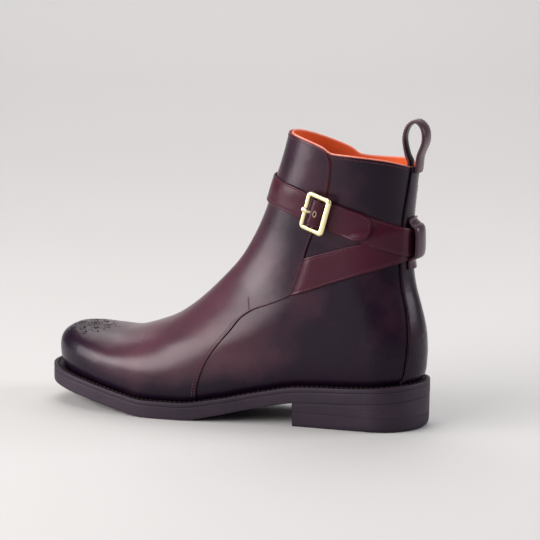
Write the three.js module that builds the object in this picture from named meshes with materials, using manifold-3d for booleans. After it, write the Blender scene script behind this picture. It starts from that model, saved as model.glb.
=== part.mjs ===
// Left jodhpur boot, in millimetres.
// +X points to the toe, +Y to the outer side of the foot, +Z up, and the floor is at Z 0.

import * as THREE from 'three';
import { mergeVertices } from 'three/addons/utils/BufferGeometryUtils.js';
import Module from 'manifold-3d';

const wasm = await Module();
wasm.setup();

// Sizes of the sole
const SOLE_LENGTH = 303;
const BALL_WIDTH = 105;
const HEEL_WIDTH = 71;
const HEEL_SEAT = 35.5;
const TOE_SPRING = 15.5;
const WELT_THICKNESS = 3.4;
const WELT_SEAT_WIDTH = 16;
const OUTSOLE_THICKNESS = 9.4;
const WAIST_THICKNESS = 8;
const HEEL_LENGTH = 93;
const TOP_PIECE_THICKNESS = 11;
const HEEL_TAPER = 1;
const EDGE_CHAMFER = 0.8;
const INSOLE_THICKNESS = 3;

// Sizes of the upper
const WELT_REACH = 3.2;
const TOE_REACH = 5.7;
const FEATHER_INSET = 4;
const WIDEST_RISE = 14;
const TOE_TOP = 59;
const COLLAR_FRONT = 215;
const COLLAR_BACK = 193.5;
const COLLAR_WIDTH = 70;
const MEDIAL_DROP = 8;
const QUARTER_WALL = 2;
const VAMP_STEP = 1;

// Sizes of the strips and straps
const BACKSTAY_THICKNESS = 1.2;
const BACKSTAY_TOP_WIDTH = 17;
const BACKSTAY_FOOT_WIDTH = 46;
const LOOP_WIDTH = 14;
const LOOP_THICKNESS = 2.2;
const LOOP_HEIGHT = 33;
const LOOP_BREADTH = 18.5;
const LOOP_LEAN = 2;
const KEEPER_WIDTH = 14;
const KEEPER_THICKNESS = 2.2;
const STRAP_WIDTH = 20.5;
const STRAP_THICKNESS = 1.8;
const STRAP_TAIL_WIDTH = 24;
const FOLD_THICKNESS = 1;

// Sizes of the buckle
const BUCKLE_HEIGHT = 29;
const BUCKLE_LENGTH = 19.5;
const BUCKLE_BAR = 3.3;
const BUCKLE_THICKNESS = 2.6;
const BUCKLE_CORNER = 3;
const CENTRE_BAR = 2;
const PRONG_WIDTH = 2.4;

// Clearances
const GAP = 0.3;
const SEAT_GAP = 0.45;
const STRAP_GAP = 0.6;

// Side profile of the front, from the foremost point of the toe to the collar. along is a share of
// the sole's length, toe of the rise from the widest line to the top of the toe, and shaft of the
// rise from there to the collar.
const FRONT_PROFILE = [
  { along: 0.981, toe: 0.0, shaft: 0 },
  { along: 0.972, toe: 0.57, shaft: 0 },
  { along: 0.94, toe: 0.93, shaft: 0 },
  { along: 0.898, toe: 1.0, shaft: 0.001 },
  { along: 0.847, toe: 1.0, shaft: -0.004 },
  { along: 0.783, toe: 1.0, shaft: -0.003 },
  { along: 0.717, toe: 1.0, shaft: 0.033 },
  { along: 0.653, toe: 1.0, shaft: 0.085 },
  { along: 0.593, toe: 1.0, shaft: 0.167 },
  { along: 0.537, toe: 1.0, shaft: 0.269 },
  { along: 0.486, toe: 1.0, shaft: 0.378 },
  { along: 0.448, toe: 1.0, shaft: 0.498 },
  { along: 0.419, toe: 1.0, shaft: 0.619 },
  { along: 0.397, toe: 1.0, shaft: 0.745 },
  { along: 0.374, toe: 1.0, shaft: 0.874 },
  { along: 0.356, toe: 1.0, shaft: 1.0 },
  { along: 0.342, toe: 1.0, shaft: 1.12 },
];

// Side profile of the back. up is a share of the rise from the heel seat to the collar, and inset
// of the heel's width.
const BACK_PROFILE = [
  { up: 0, inset: 0.078 },
  { up: 0.09, inset: 0.039 },
  { up: 0.145, inset: 0.034 },
  { up: 0.231, inset: 0.049 },
  { up: 0.332, inset: 0.1 },
  { up: 0.434, inset: 0.161 },
  { up: 0.547, inset: 0.195 },
  { up: 0.661, inset: 0.196 },
  { up: 0.775, inset: 0.187 },
  { up: 0.902, inset: 0.161 },
  { up: 1.073, inset: 0.116 },
  { up: 1.28, inset: 0.07 },
];

// Outline of the sole. A half width is the heel's at 0 and the ball's at 1, and shift moves the
// middle line by a share of the ball's width.
const SOLE_PLAN = [
  { along: 0, lateral: 0, medial: 0, shift: 0 },
  { along: 0.14, lateral: 0, medial: 0, shift: 0 },
  { along: 0.27, lateral: 0.03, medial: -0.04, shift: 0 },
  { along: 0.38, lateral: 0.19, medial: 0.03, shift: 0 },
  { along: 0.495, lateral: 0.59, medial: 0.36, shift: -0.003 },
  { along: 0.594, lateral: 0.91, medial: 0.74, shift: -0.01 },
  { along: 0.677, lateral: 1.03, medial: 0.94, shift: -0.016 },
  { along: 0.743, lateral: 0.94, medial: 0.98, shift: -0.024 },
  { along: 0.809, lateral: 0.74, medial: 0.83, shift: -0.034 },
  { along: 0.875, lateral: 0.54, medial: 0.66, shift: -0.046 },
  { along: 0.941, lateral: 0.44, medial: 0.5, shift: -0.056 },
  { along: 1, lateral: 0.42, medial: 0.44, shift: -0.062 },
];

// Top of the welt. heel is a share of what the heel adds to its height, and toe of the toe spring.
const WELT_LINE = [
  { along: 0, heel: 1, toe: 0 },
  { along: 0.149, heel: 0.84, toe: 0 },
  { along: 0.297, heel: 0.73, toe: 0 },
  { along: 0.396, heel: 0.48, toe: 0 },
  { along: 0.495, heel: 0.19, toe: 0 },
  { along: 0.594, heel: 0, toe: 0 },
  { along: 0.677, heel: 0, toe: 0 },
  { along: 0.775, heel: 0, toe: 0.28 },
  { along: 0.858, heel: 0, toe: 0.57 },
  { along: 0.924, heel: 0, toe: 0.77 },
  { along: 1, heel: 0, toe: 1 },
];

// Half width of the shaft, as a share of the collar's, by its share of the collar's height
const SHAFT_WIDTH = [
  { up: 0.18, half: 0.9 },
  { up: 0.33, half: 0.886 },
  { up: 0.465, half: 0.843 },
  { up: 0.605, half: 0.843 },
  { up: 0.744, half: 0.9 },
  { up: 0.884, half: 0.965 },
  { up: 1.1, half: 1.04 },
];

// Rim of the collar, from the back at 0 to the front at 1. up is a share of the rise from the
// collar's back to its front.
const COLLAR_RIM = [
  { across: 0, up: 0 },
  { across: 0.05, up: 0.18 },
  { across: 0.17, up: 0.34 },
  { across: 0.39, up: 0.42 },
  { across: 0.56, up: 0.46 },
  { across: 0.64, up: 0.65 },
  { across: 0.82, up: 0.86 },
  { across: 1, up: 1 },
];

// Rear edge of the vamp with its flap, from the collar down to the welt. along is a share of the
// sole's length, and up of the collar's front height.
const VAMP_EDGE = [
  { along: 0.236, up: 0.972 },
  { along: 0.223, up: 0.962 },
  { along: 0.2145, up: 0.94 },
  { along: 0.214, up: 0.895 },
  { along: 0.219, up: 0.84 },
  { along: 0.234, up: 0.76 },
  { along: 0.261, up: 0.675 },
  { along: 0.279, up: 0.612 },
  { along: 0.294, up: 0.54 },
  { along: 0.307, up: 0.485 },
  { along: 0.321, up: 0.45 },
  { along: 0.366, up: 0.42 },
  { along: 0.413, up: 0.395 },
  { along: 0.446, up: 0.363 },
  { along: 0.468, up: 0.321 },
  { along: 0.501, up: 0.26 },
  { along: 0.527, up: 0.198 },
  { along: 0.545, up: 0.12 },
  { along: 0.552, up: 0.03 },
];

// Half width of the backstay, from its foot's at 1 to its top's at 0
const BACKSTAY_SPREAD = [
  { up: 0, spread: 1 },
  { up: 0.09, spread: 0.94 },
  { up: 0.22, spread: 0.74 },
  { up: 0.35, spread: 0.49 },
  { up: 0.52, spread: 0.35 },
  { up: 0.75, spread: 0.2 },
  { up: 0.88, spread: 0.07 },
  { up: 1, spread: 0 },
];

// Middle lines of the straps. turn is in degrees round the shaft, from the back at 0 through the
// outer side at 90 to the front at 180, and up is a share of the collar's front height.
const BILLET_PATH = [
  { turn: 108, up: 0.493 },
  { turn: 97.5, up: 0.514 },
  { turn: 80, up: 0.552 },
  { turn: 54, up: 0.594 },
  { turn: 18, up: 0.627 },
  { turn: 0, up: 0.636 },
  { turn: -18, up: 0.646 },
  { turn: -44, up: 0.674 },
  { turn: -66, up: 0.706 },
  { turn: -96, up: 0.748 },
  { turn: -126, up: 0.785 },
  { turn: -155, up: 0.801 },
  { turn: -180, up: 0.805 },
  { turn: -205, up: 0.799 },
  { turn: -234, up: 0.783 },
  { turn: -264, up: 0.745 },
  { turn: -294, up: 0.706 },
  { turn: -308, up: 0.686 },
];
const BUCKLE_STRAP_PATH = [
  { turn: -108, up: 0.493 },
  { turn: -97.5, up: 0.514 },
  { turn: -80, up: 0.552 },
  { turn: -54, up: 0.594 },
  { turn: -18, up: 0.627 },
  { turn: 0, up: 0.636 },
  { turn: 18, up: 0.646 },
  { turn: 44, up: 0.674 },
  { turn: 66, up: 0.706 },
  { turn: 96, up: 0.745 },
];

const HEEL_ROUND = 0.507 * HEEL_WIDTH;
const TOE_ROUND = 0.514 * BALL_WIDTH;
const WELT_TOP_LOW = WELT_THICKNESS + GAP + OUTSOLE_THICKNESS;
const WALL = QUARTER_WALL + VAMP_STEP;

function smoothstep(from, to, value) {
  return THREE.MathUtils.smoothstep(value, from, to);
}

function lerp(from, to, share) {
  return from + (to - from) * share;
}

// A smooth curve through a table's rows that never swings past them
function tableCurve(rows, input, output) {
  const xs = rows.map((row) => row[input]);
  const ys = rows.map((row) => row[output]);
  const last = xs.length - 1;
  const steps = xs.slice(1).map((x, i) => x - xs[i]);
  const slopes = steps.map((step, i) => (ys[i + 1] - ys[i]) / step);
  const tangents = xs.map((_, i) => {
    if (i === 0) return slopes[0];
    if (i === last) return slopes[last - 1];
    if (slopes[i - 1] * slopes[i] <= 0) return 0;
    const before = 2 * steps[i] + steps[i - 1];
    const after = steps[i] + 2 * steps[i - 1];
    return (before + after) / (before / slopes[i - 1] + after / slopes[i]);
  });
  return (x) => {
    const clamped = THREE.MathUtils.clamp(x, xs[0], xs[last]);
    let i = 0;
    while (i < last - 1 && clamped > xs[i + 1]) i += 1;
    const t = (clamped - xs[i]) / steps[i];
    const rise = t * t * (3 - 2 * t);
    return ys[i] * (1 - rise) + ys[i + 1] * rise
      + steps[i] * (tangents[i] * t * (1 - t) ** 2 - tangents[i + 1] * t * t * (1 - t));
  };
}

// The lesser of two values, rounded where they cross
function softLeast(a, b, blend) {
  const soft = Math.min(blend, 8);
  return (a + b - Math.sqrt((a - b) ** 2 + soft * soft)) / 2;
}

// Quarter of a superellipse: 0 at the end, 1 from the shoulder on
function roundEnd(share, power) {
  const inside = 1 - THREE.MathUtils.clamp(share, 0, 1);
  return (1 - inside ** power) ** (1 / power);
}

// Straight interpolation along a polyline of { x, y } by one of its coordinates, which only rises
function alongLine(points, input, output, value) {
  let low = 0;
  let high = points.length - 1;
  if (value <= points[low][input]) return points[low][output];
  if (value >= points[high][input]) return points[high][output];
  while (high - low > 1) {
    const middle = (low + high) >> 1;
    if (points[middle][input] <= value) low = middle;
    else high = middle;
  }
  const share = (value - points[low][input]) / (points[high][input] - points[low][input]);
  return lerp(points[low][output], points[high][output], share);
}

// Sole outline and levels
const planHalf = {
  lateral: tableCurve(SOLE_PLAN, 'along', 'lateral'),
  medial: tableCurve(SOLE_PLAN, 'along', 'medial'),
};
const planShift = tableCurve(SOLE_PLAN, 'along', 'shift');
const heelShare = tableCurve(WELT_LINE, 'along', 'heel');
const toeShare = tableCurve(WELT_LINE, 'along', 'toe');

function soleHalf(x, side) {
  const share = planHalf[side](x / SOLE_LENGTH);
  return lerp(HEEL_WIDTH, BALL_WIDTH, share) / 2;
}

function soleMiddle(x) {
  return planShift(x / SOLE_LENGTH) * BALL_WIDTH;
}

function weltTop(x) {
  const along = x / SOLE_LENGTH;
  return WELT_TOP_LOW + heelShare(along) * (HEEL_SEAT - WELT_TOP_LOW) + toeShare(along) * TOE_SPRING;
}

function outsoleBottom(x) {
  const waist = 1 - smoothstep(0.42, 0.58, x / SOLE_LENGTH);
  const thickness = lerp(OUTSOLE_THICKNESS, WAIST_THICKNESS, waist);
  return weltTop(x) - WELT_THICKNESS - GAP - thickness;
}

// A point of the sole's outline. turn runs from the back at 0 along the outer side to the toe at
// PI and back along the inner side, and offset moves the point outwards in plan.
function soleEdge(turn, offset) {
  const at = (angle) => {
    const x = SOLE_LENGTH * (1 - Math.cos(angle)) / 2;
    const outer = Math.sin(angle) >= 0;
    const half = soleHalf(x, outer ? 'lateral' : 'medial')
      * roundEnd((SOLE_LENGTH - x) / TOE_ROUND, 2.1) * roundEnd(x / HEEL_ROUND, 2);
    return new THREE.Vector2(x, (outer ? half : -half) + soleMiddle(x));
  };
  const point = at(turn);
  const ahead = at(turn + 0.01).sub(at(turn - 0.01)).normalize();
  return point.add(new THREE.Vector2(-ahead.y, ahead.x).multiplyScalar(offset));
}

// Profile curves of the upper, sampled finely: x along, y up
const WIDEST_AT_TOE = weltTop(SOLE_LENGTH * FRONT_PROFILE[0].along) + WIDEST_RISE;
const frontLine = new THREE.SplineCurve(FRONT_PROFILE.map((row) => new THREE.Vector2(
  row.along * SOLE_LENGTH + (SOLE_LENGTH * 0.019 - TOE_REACH) * (1 - Math.min(1, row.shaft * 4)),
  WIDEST_AT_TOE + row.toe * (TOE_TOP - WIDEST_AT_TOE) + row.shaft * (COLLAR_FRONT - TOE_TOP),
))).getPoints(240);
const ridgeLine = [...frontLine].reverse();
const backLine = new THREE.SplineCurve(BACK_PROFILE.map((row) => new THREE.Vector2(
  row.inset * HEEL_WIDTH,
  lerp(HEEL_SEAT, COLLAR_BACK, row.up),
))).getPoints(160);
const ridgeHeight = (x) => alongLine(ridgeLine, 'x', 'y', x);
const frontReach = (z) => alongLine(frontLine, 'y', 'x', z);
const backReach = (z) => alongLine(backLine, 'y', 'x', z);
const widestLine = (x) => weltTop(x) + WIDEST_RISE;

// The front bends from the instep's ridge to the shaft's front round this point of the side view
const FAN_CENTRE = new THREE.Vector2(0.647 * SOLE_LENGTH, 0.79 * COLLAR_FRONT);
const fanRays = frontLine
  .filter((point) => point.x <= FAN_CENTRE.x && point.y <= FAN_CENTRE.y)
  .map((point) => ({
    x: Math.atan2(FAN_CENTRE.x - point.x, FAN_CENTRE.y - point.y),
    y: FAN_CENTRE.distanceTo(point),
  }));
const shaftHalf = tableCurve(SHAFT_WIDTH, 'up', 'half');

// How far a point of the side view lies inside the front profile, as a share of the depth in
// which the section rounds off, with the power of that rounding
function frontDepth(x, z) {
  const ballDepth = ridgeHeight(FAN_CENTRE.x) - widestLine(FAN_CENTRE.x);
  if (x >= FAN_CENTRE.x) {
    const depth = Math.max(ridgeHeight(x) - widestLine(x), 0.001);
    const power = 1.95 + 0.35 * smoothstep(FAN_CENTRE.x, 0.9 * SOLE_LENGTH, x);
    return { share: (ridgeHeight(x) - z) / depth, power };
  }
  if (z >= FAN_CENTRE.y) return { share: (frontReach(z) - x) / (0.71 * COLLAR_WIDTH), power: 2 };
  const angle = Math.atan2(FAN_CENTRE.x - x, FAN_CENTRE.y - z);
  const depth = FAN_CENTRE.distanceTo(new THREE.Vector2(x, z)) - alongLine(fanRays, 'x', 'y', angle);
  const turned = angle / (Math.PI / 2);
  const full = lerp(ballDepth, 0.71 * COLLAR_WIDTH, turned) + 0.2 * COLLAR_WIDTH * Math.sin(Math.PI * turned);
  return { share: depth / full, power: 1.95 - 0.1 * Math.sin(Math.PI * turned) };
}

// Half width of the upper above its widest line, where the back lies at the given x
function upperHalf(x, z, side, back) {
  const low = soleHalf(x, side) - WELT_REACH;
  const high = shaftHalf(z / COLLAR_FRONT) * COLLAR_WIDTH / 2;
  const width = lerp(low, high, smoothstep(0.255 * COLLAR_FRONT, 0.58 * COLLAR_FRONT, z));
  const toe = roundEnd((frontLine[0].x - x) / TOE_ROUND, 2.15);
  const heelDepth = lerp(HEEL_ROUND * 0.92, 0.64 * COLLAR_WIDTH, smoothstep(0.14, 0.75, z / COLLAR_FRONT));
  const heel = roundEnd((x - back) / heelDepth, 2);
  const front = frontDepth(x, z);
  return width * toe * heel * roundEnd(front.share, front.power);
}

function upperPoint(x, z, outer, back = backReach(z)) {
  const half = upperHalf(x, z, outer ? 'lateral' : 'medial', back);
  const middle = soleMiddle(x) * (1 - smoothstep(0.28 * COLLAR_FRONT, 0.56 * COLLAR_FRONT, z));
  return new THREE.Vector3(x, (outer ? half : -half) + middle, z);
}

// A point of the widest line, and of the upper between the welt and that line
function widestPoint(turn) {
  const back = backReach(widestLine(0));
  const x = back + (frontLine[0].x - back) * (1 - Math.cos(turn)) / 2;
  return upperPoint(x, widestLine(x), Math.sin(turn) >= 0, back);
}

function footPoint(turn, rise) {
  const ahead = widestPoint(turn + 0.01).sub(widestPoint(turn - 0.01)).setZ(0).normalize();
  const inset = FEATHER_INSET * (1 - Math.sqrt(1 - (1 - rise) ** 2));
  const point = widestPoint(turn).add(new THREE.Vector3(ahead.y, -ahead.x, 0).multiplyScalar(inset));
  return point.setZ(weltTop(point.x) + lerp(SEAT_GAP, WIDEST_RISE, rise));
}

// A point of the upper at a height, turned round from the back
function shaftPoint(turn, z) {
  const back = backReach(z);
  const x = back + (frontReach(z) - back) * (1 - Math.cos(turn)) / 2;
  const widest = widestPoint(turn);
  if (z < widest.z) {
    const foot = weltTop(widest.x) + SEAT_GAP;
    return footPoint(turn, THREE.MathUtils.clamp((z - foot) / (widest.z - foot), 0, 1)).setZ(z);
  }
  return upperPoint(x, z, Math.sin(turn) >= 0);
}

function shaftFrame(turn, z) {
  const step = 0.02;
  const lift = 1;
  const point = shaftPoint(turn, z);
  const round = shaftPoint(turn + step, z).sub(shaftPoint(turn - step, z)).divideScalar(2 * step);
  const up = shaftPoint(turn, z + lift).sub(shaftPoint(turn, z - lift)).divideScalar(2 * lift);
  const normal = new THREE.Vector3().crossVectors(up, round).normalize();
  return { point, round, up, normal };
}

// The turn whose arc from the back has a given length, outer side first
function turnAtArc(arc, z) {
  const step = 0.03;
  let turn = 0;
  let length = 0;
  const sign = Math.sign(arc);
  while (length < Math.abs(arc)) {
    const reach = shaftPoint(sign * (turn + step), z).distanceTo(shaftPoint(sign * turn, z));
    const share = Math.min(1, (Math.abs(arc) - length) / reach);
    turn += step * share;
    length += reach * share + 1e-9;
  }
  return sign * turn;
}

// A point beside the back line: arc is measured round the shaft, and out along its normal
function backPoint(arc, z, out) {
  const frame = shaftFrame(turnAtArc(arc, z), z);
  return frame.point.addScaledVector(frame.normal, out);
}

// A closed geometry from points and triangles, with its faces turned outwards
function closedGeometry(points, triangles) {
  const geometry = new THREE.BufferGeometry();
  geometry.setAttribute('position', new THREE.Float32BufferAttribute(points.flatMap((p) => p.toArray()), 3));
  geometry.setIndex(triangles.flat());
  const merged = mergeVertices(geometry, 1e-4);
  const index = merged.getIndex().array;
  const position = merged.getAttribute('position');
  const corner = (i) => new THREE.Vector3().fromBufferAttribute(position, index[i]);
  const kept = [];
  let volume = 0;
  for (let i = 0; i < index.length; i += 3) {
    const [a, b, c] = [index[i], index[i + 1], index[i + 2]];
    if (a === b || b === c || c === a) continue;
    kept.push([a, b, c]);
    volume += corner(i).dot(corner(i + 1).cross(corner(i + 2)));
  }
  const outward = volume > 0 ? kept : kept.map(([a, b, c]) => [a, c, b]);
  merged.setIndex(outward.flat());
  return merged;
}

// A skin through loops of points. A ring joins its last loop to its first, and any other skin is
// capped at the ends that aren't drawn together, by the given triangles of a loop.
function skin(loops, { ring = false, cap = bandCap(loops[0].length), ends = [true, true] } = {}) {
  const count = loops[0].length;
  const triangles = [];
  const spans = ring ? loops.length : loops.length - 1;
  for (let i = 0; i < spans; i += 1) {
    const here = i * count;
    const next = ((i + 1) % loops.length) * count;
    for (let j = 0; j < count; j += 1) {
      const k = (j + 1) % count;
      triangles.push([here + j, here + k, next + k], [here + j, next + k, next + j]);
    }
  }
  if (!ring) {
    const end = (loops.length - 1) * count;
    if (ends[0]) cap.forEach(([a, b, c]) => triangles.push([a, c, b]));
    if (ends[1]) cap.forEach(([a, b, c]) => triangles.push([end + a, end + b, end + c]));
  }
  return closedGeometry(loops.flat(), triangles);
}

// Triangles of a loop whose second half runs back beside its first
function bandCap(count) {
  return Array.from({ length: count / 2 - 1 }, (_, i) => [
    [i, i + 1, count - 2 - i],
    [i, count - 2 - i, count - 1 - i],
  ]).flat();
}

function toSolid(geometry) {
  const bare = geometry.clone();
  bare.deleteAttribute('normal');
  bare.deleteAttribute('uv');
  const merged = mergeVertices(bare, 1e-4);
  return new wasm.Manifold(new wasm.Mesh({
    numProp: 3,
    vertProperties: Float32Array.from(merged.getAttribute('position').array),
    triVerts: Uint32Array.from(merged.getIndex().array),
  }));
}

function toGeometry(solid) {
  const mesh = solid.getMesh();
  const geometry = new THREE.BufferGeometry();
  geometry.setAttribute('position', new THREE.Float32BufferAttribute(mesh.vertProperties, 3));
  geometry.setIndex(new THREE.Uint32BufferAttribute(mesh.triVerts, 1));
  return geometry;
}

function steps(count, closed = false) {
  return Array.from({ length: closed ? count : count + 1 }, (_, i) => i / count);
}

// Upper: rings of points from the welt to the rim
const RINGS = 16;
const AROUND = 40;
const FOOT_RINGS = [0, 0.2, 0.55];
const RING_DIP = 0.35;
const rimRise = tableCurve(COLLAR_RIM, 'across', 'up');

function pointAtShare(line, from, share) {
  const start = line.findIndex((point) => point.y >= from);
  const part = line.slice(start);
  const lengths = [0];
  part.slice(1).forEach((point, i) => lengths.push(lengths[i] + point.distanceTo(part[i])));
  const rows = part.map((point, i) => ({ s: lengths[i], x: point.x, y: point.y }));
  const at = share * lengths[lengths.length - 1];
  return new THREE.Vector2(alongLine(rows, 's', 'x', at), alongLine(rows, 's', 'y', at));
}

function upperRings() {
  const front = frontLine.filter((point) => point.y <= COLLAR_FRONT || point.x > FAN_CENTRE.x);
  const back = backLine.filter((point) => point.y <= COLLAR_BACK);
  const turns = steps(AROUND, true).map((share) => share * 2 * Math.PI);
  const widestBack = widestLine(0);
  const rings = FOOT_RINGS.map((rise) => turns.map((turn) => footPoint(turn, rise)));
  for (const step of steps(RINGS)) {
    const share = step ** 1.35;
    const fore = pointAtShare(front, front[0].y, share);
    const aft = pointAtShare(back, widestBack, share);
    rings.push(turns.map((turn) => {
      const across = (1 - Math.cos(turn)) / 2;
      const x = lerp(aft.x, fore.x, across);
      const sag = widestLine(x) - lerp(widestLine(aft.x), widestLine(fore.x), across);
      const medial = Math.sin(turn) < 0 ? MEDIAL_DROP * Math.sin(turn) ** 2 : 0;
      const rim = (COLLAR_FRONT - COLLAR_BACK) * (rimRise(across) - across) - medial;
      const line = lerp(aft.y, fore.y, across) + sag * (1 - share) ** 6 + rim * share ** 4;
      const below = RING_DIP * (fore.x - x);
      const height = softLeast(line, ridgeHeight(x) - below, 0.5 * below);
      return upperPoint(x, height, Math.sin(turn) >= 0, backReach(height) + aft.x - backReach(aft.y));
    }));
  }
  return rings;
}

function ringNormals(rings) {
  return rings.map((ring, i) => ring.map((_, j) => {
    const before = ring[(j + AROUND - 1) % AROUND];
    const round = ring[(j + 1) % AROUND].clone().sub(before);
    const below = rings[Math.max(0, i - 1)][j];
    const above = rings[Math.min(rings.length - 1, i + 1)][j];
    const normal = new THREE.Vector3().crossVectors(above.clone().sub(below), round);
    if (i === 0) normal.setZ(0);
    return normal.normalize();
  }));
}

function upperShell(outside, inside) {
  const rings = upperRings();
  const normals = ringNormals(rings);
  const layer = (offset) => rings.map((ring, i) => ring.map((point, j) => {
    const moved = point.clone().addScaledVector(normals[i][j], offset);
    const foot = weltTop(moved.x) + SEAT_GAP;
    return i === 0 ? moved.setZ(foot) : moved.setZ(Math.max(moved.z, foot + 0.5));
  }));
  return skin([...layer(outside), ...layer(inside).reverse()], { ring: true });
}

const vampEdge = new THREE.SplineCurve(VAMP_EDGE.map((row) => new THREE.Vector2(
  row.along * SOLE_LENGTH,
  row.up * COLLAR_FRONT,
))).getPoints(54);

// A block through the whole width that holds all in front of the vamp's edge, below a height
function vampBlock(top, clearance) {
  const edge = vampEdge.filter((point) => point.y <= top);
  const outline = edge.map((point) => new THREE.Vector2(point.x - clearance, point.y));
  const first = outline[0];
  const ahead = 1.1 * SOLE_LENGTH;
  const shape = new THREE.Shape([
    new THREE.Vector2(ahead, Math.max(first.y, top)),
    new THREE.Vector2(first.x + 0.02 * SOLE_LENGTH, Math.max(first.y, top)),
    ...outline,
    new THREE.Vector2(outline[outline.length - 1].x, -HEEL_SEAT),
    new THREE.Vector2(ahead, -HEEL_SEAT),
  ]);
  const block = new THREE.ExtrudeGeometry(shape, { depth: 2 * BALL_WIDTH, bevelEnabled: false });
  return toSolid(block.rotateX(Math.PI / 2).translate(0, BALL_WIDTH, 0));
}

function upperGeometry() {
  const base = toSolid(upperShell(-VAMP_STEP, -WALL));
  const vamp = toSolid(upperShell(0, -WALL + 0.5 * QUARTER_WALL));
  return toGeometry(base.add(vamp.intersect(vampBlock(1.2 * COLLAR_FRONT, 0))));
}

// Flat layers of the sole. edge gives the outline's points, and the section has chamfered edges.
function layerGeometry({ edge, top, bottom, turns, taper = 0, ends = [false, false] }) {
  const section = (turn) => {
    const side = (angle) => {
      const corner = (offset, height, drop) => {
        const point = edge(angle, offset);
        return new THREE.Vector3(point.x, point.y, height(point.x) + drop);
      };
      return [
        corner(-EDGE_CHAMFER, top, 0),
        corner(0, top, -EDGE_CHAMFER),
        corner(-taper, bottom, EDGE_CHAMFER),
        corner(-taper - EDGE_CHAMFER, bottom, 0),
      ];
    };
    return [...side(turn), ...side(-turn).reverse()];
  };
  return skin(turns.map(section), { ends });
}

const SOLE_TURNS = steps(34).map((share) => share * Math.PI);
const BREAST_TURN = Math.acos(1 - 2 * HEEL_LENGTH / SOLE_LENGTH);
const HEEL_TURNS = steps(12).map((share) => share * BREAST_TURN);

function heelEdge(turn, offset) {
  const point = soleEdge(turn, offset);
  if (Math.abs(turn) > BREAST_TURN - 0.001) point.x = HEEL_LENGTH;
  return point;
}

function outsoleGeometry() {
  return layerGeometry({
    edge: soleEdge,
    top: (x) => weltTop(x) - WELT_THICKNESS - GAP,
    bottom: outsoleBottom,
    turns: SOLE_TURNS,
  });
}

function heelLiftGeometry() {
  return layerGeometry({
    edge: (turn, offset) => heelEdge(turn, offset - 0.2 * HEEL_TAPER),
    top: (x) => outsoleBottom(x) - GAP,
    bottom: () => TOP_PIECE_THICKNESS + GAP,
    turns: HEEL_TURNS,
    taper: 0.3 * HEEL_TAPER,
    ends: [false, true],
  });
}

function heelTopPieceGeometry() {
  return layerGeometry({
    edge: (turn, offset) => heelEdge(turn, offset - 0.5 * HEEL_TAPER),
    top: () => TOP_PIECE_THICKNESS,
    bottom: () => 0,
    turns: HEEL_TURNS,
    taper: 0.5 * HEEL_TAPER,
    ends: [false, true],
  });
}

function weltGeometry() {
  const loops = steps(60, true).map((share) => {
    const turn = share * 2 * Math.PI;
    const corner = (offset, drop) => {
      const point = soleEdge(turn, offset);
      return new THREE.Vector3(point.x, point.y, weltTop(point.x) - drop);
    };
    return [
      corner(-WELT_SEAT_WIDTH, 0),
      corner(-EDGE_CHAMFER, 0),
      corner(0, EDGE_CHAMFER),
      corner(0, WELT_THICKNESS - EDGE_CHAMFER),
      corner(-EDGE_CHAMFER, WELT_THICKNESS),
      corner(-WELT_SEAT_WIDTH, WELT_THICKNESS),
    ];
  });
  return skin(loops, { ring: true });
}

function insoleGeometry() {
  const edge = (turn, offset) => {
    const ahead = footPoint(turn + 0.02, 0).sub(footPoint(turn - 0.02, 0)).setZ(0).normalize();
    const inset = WALL + 1.5 * GAP - offset;
    const point = footPoint(turn, 0).add(new THREE.Vector3(ahead.y, -ahead.x, 0).multiplyScalar(inset));
    return new THREE.Vector2(point.x, point.y);
  };
  return layerGeometry({
    edge,
    top: (x) => weltTop(x) + SEAT_GAP + INSOLE_THICKNESS,
    bottom: (x) => weltTop(x) + SEAT_GAP,
    turns: SOLE_TURNS,
  });
}

// Strips on the back line
const BACKSTAY_OUT = BACKSTAY_THICKNESS + SEAT_GAP - VAMP_STEP;
const backstaySpread = tableCurve(BACKSTAY_SPREAD, 'up', 'spread');

function backstayHalf(z) {
  const spread = backstaySpread((z - HEEL_SEAT) / (COLLAR_BACK - HEEL_SEAT));
  return lerp(BACKSTAY_TOP_WIDTH, BACKSTAY_FOOT_WIDTH, spread) / 2;
}

function backstayGeometry() {
  const foot = weltTop(0) + SEAT_GAP;
  const loops = steps(16).map((share) => {
    const z = lerp(foot, COLLAR_BACK - 1, share ** 1.6);
    const half = backstayHalf(z);
    const row = (out) => steps(6).map((across) => backPoint(lerp(-half, half, across), z, out));
    return [...row(BACKSTAY_OUT), ...row(BACKSTAY_OUT - BACKSTAY_THICKNESS).reverse()];
  });
  return skin(loops);
}

// A strip whose side view is a band along a line of { out, up }, bent round the back
function backBand(line, width, thickness) {
  const points = new THREE.SplineCurve(line.map((row) => new THREE.Vector2(row.out, row.up)))
    .getPoints(2 * (line.length - 1));
  const sideways = points.map((point, i) => {
    const ahead = points[Math.min(i + 1, points.length - 1)].clone().sub(points[Math.max(i - 1, 0)]);
    return new THREE.Vector2(-ahead.y, ahead.x).normalize();
  });
  const edge = (offset) => points.map((point, i) => point.clone().addScaledVector(sideways[i], offset));
  const outline = [...edge(thickness / 2), ...edge(-thickness / 2).reverse()];
  const loops = steps(4).map((across) => outline.map((point) => (
    backPoint(lerp(-width, width, across) / 2, point.y, point.x)
  )));
  return skin(loops);
}

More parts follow.
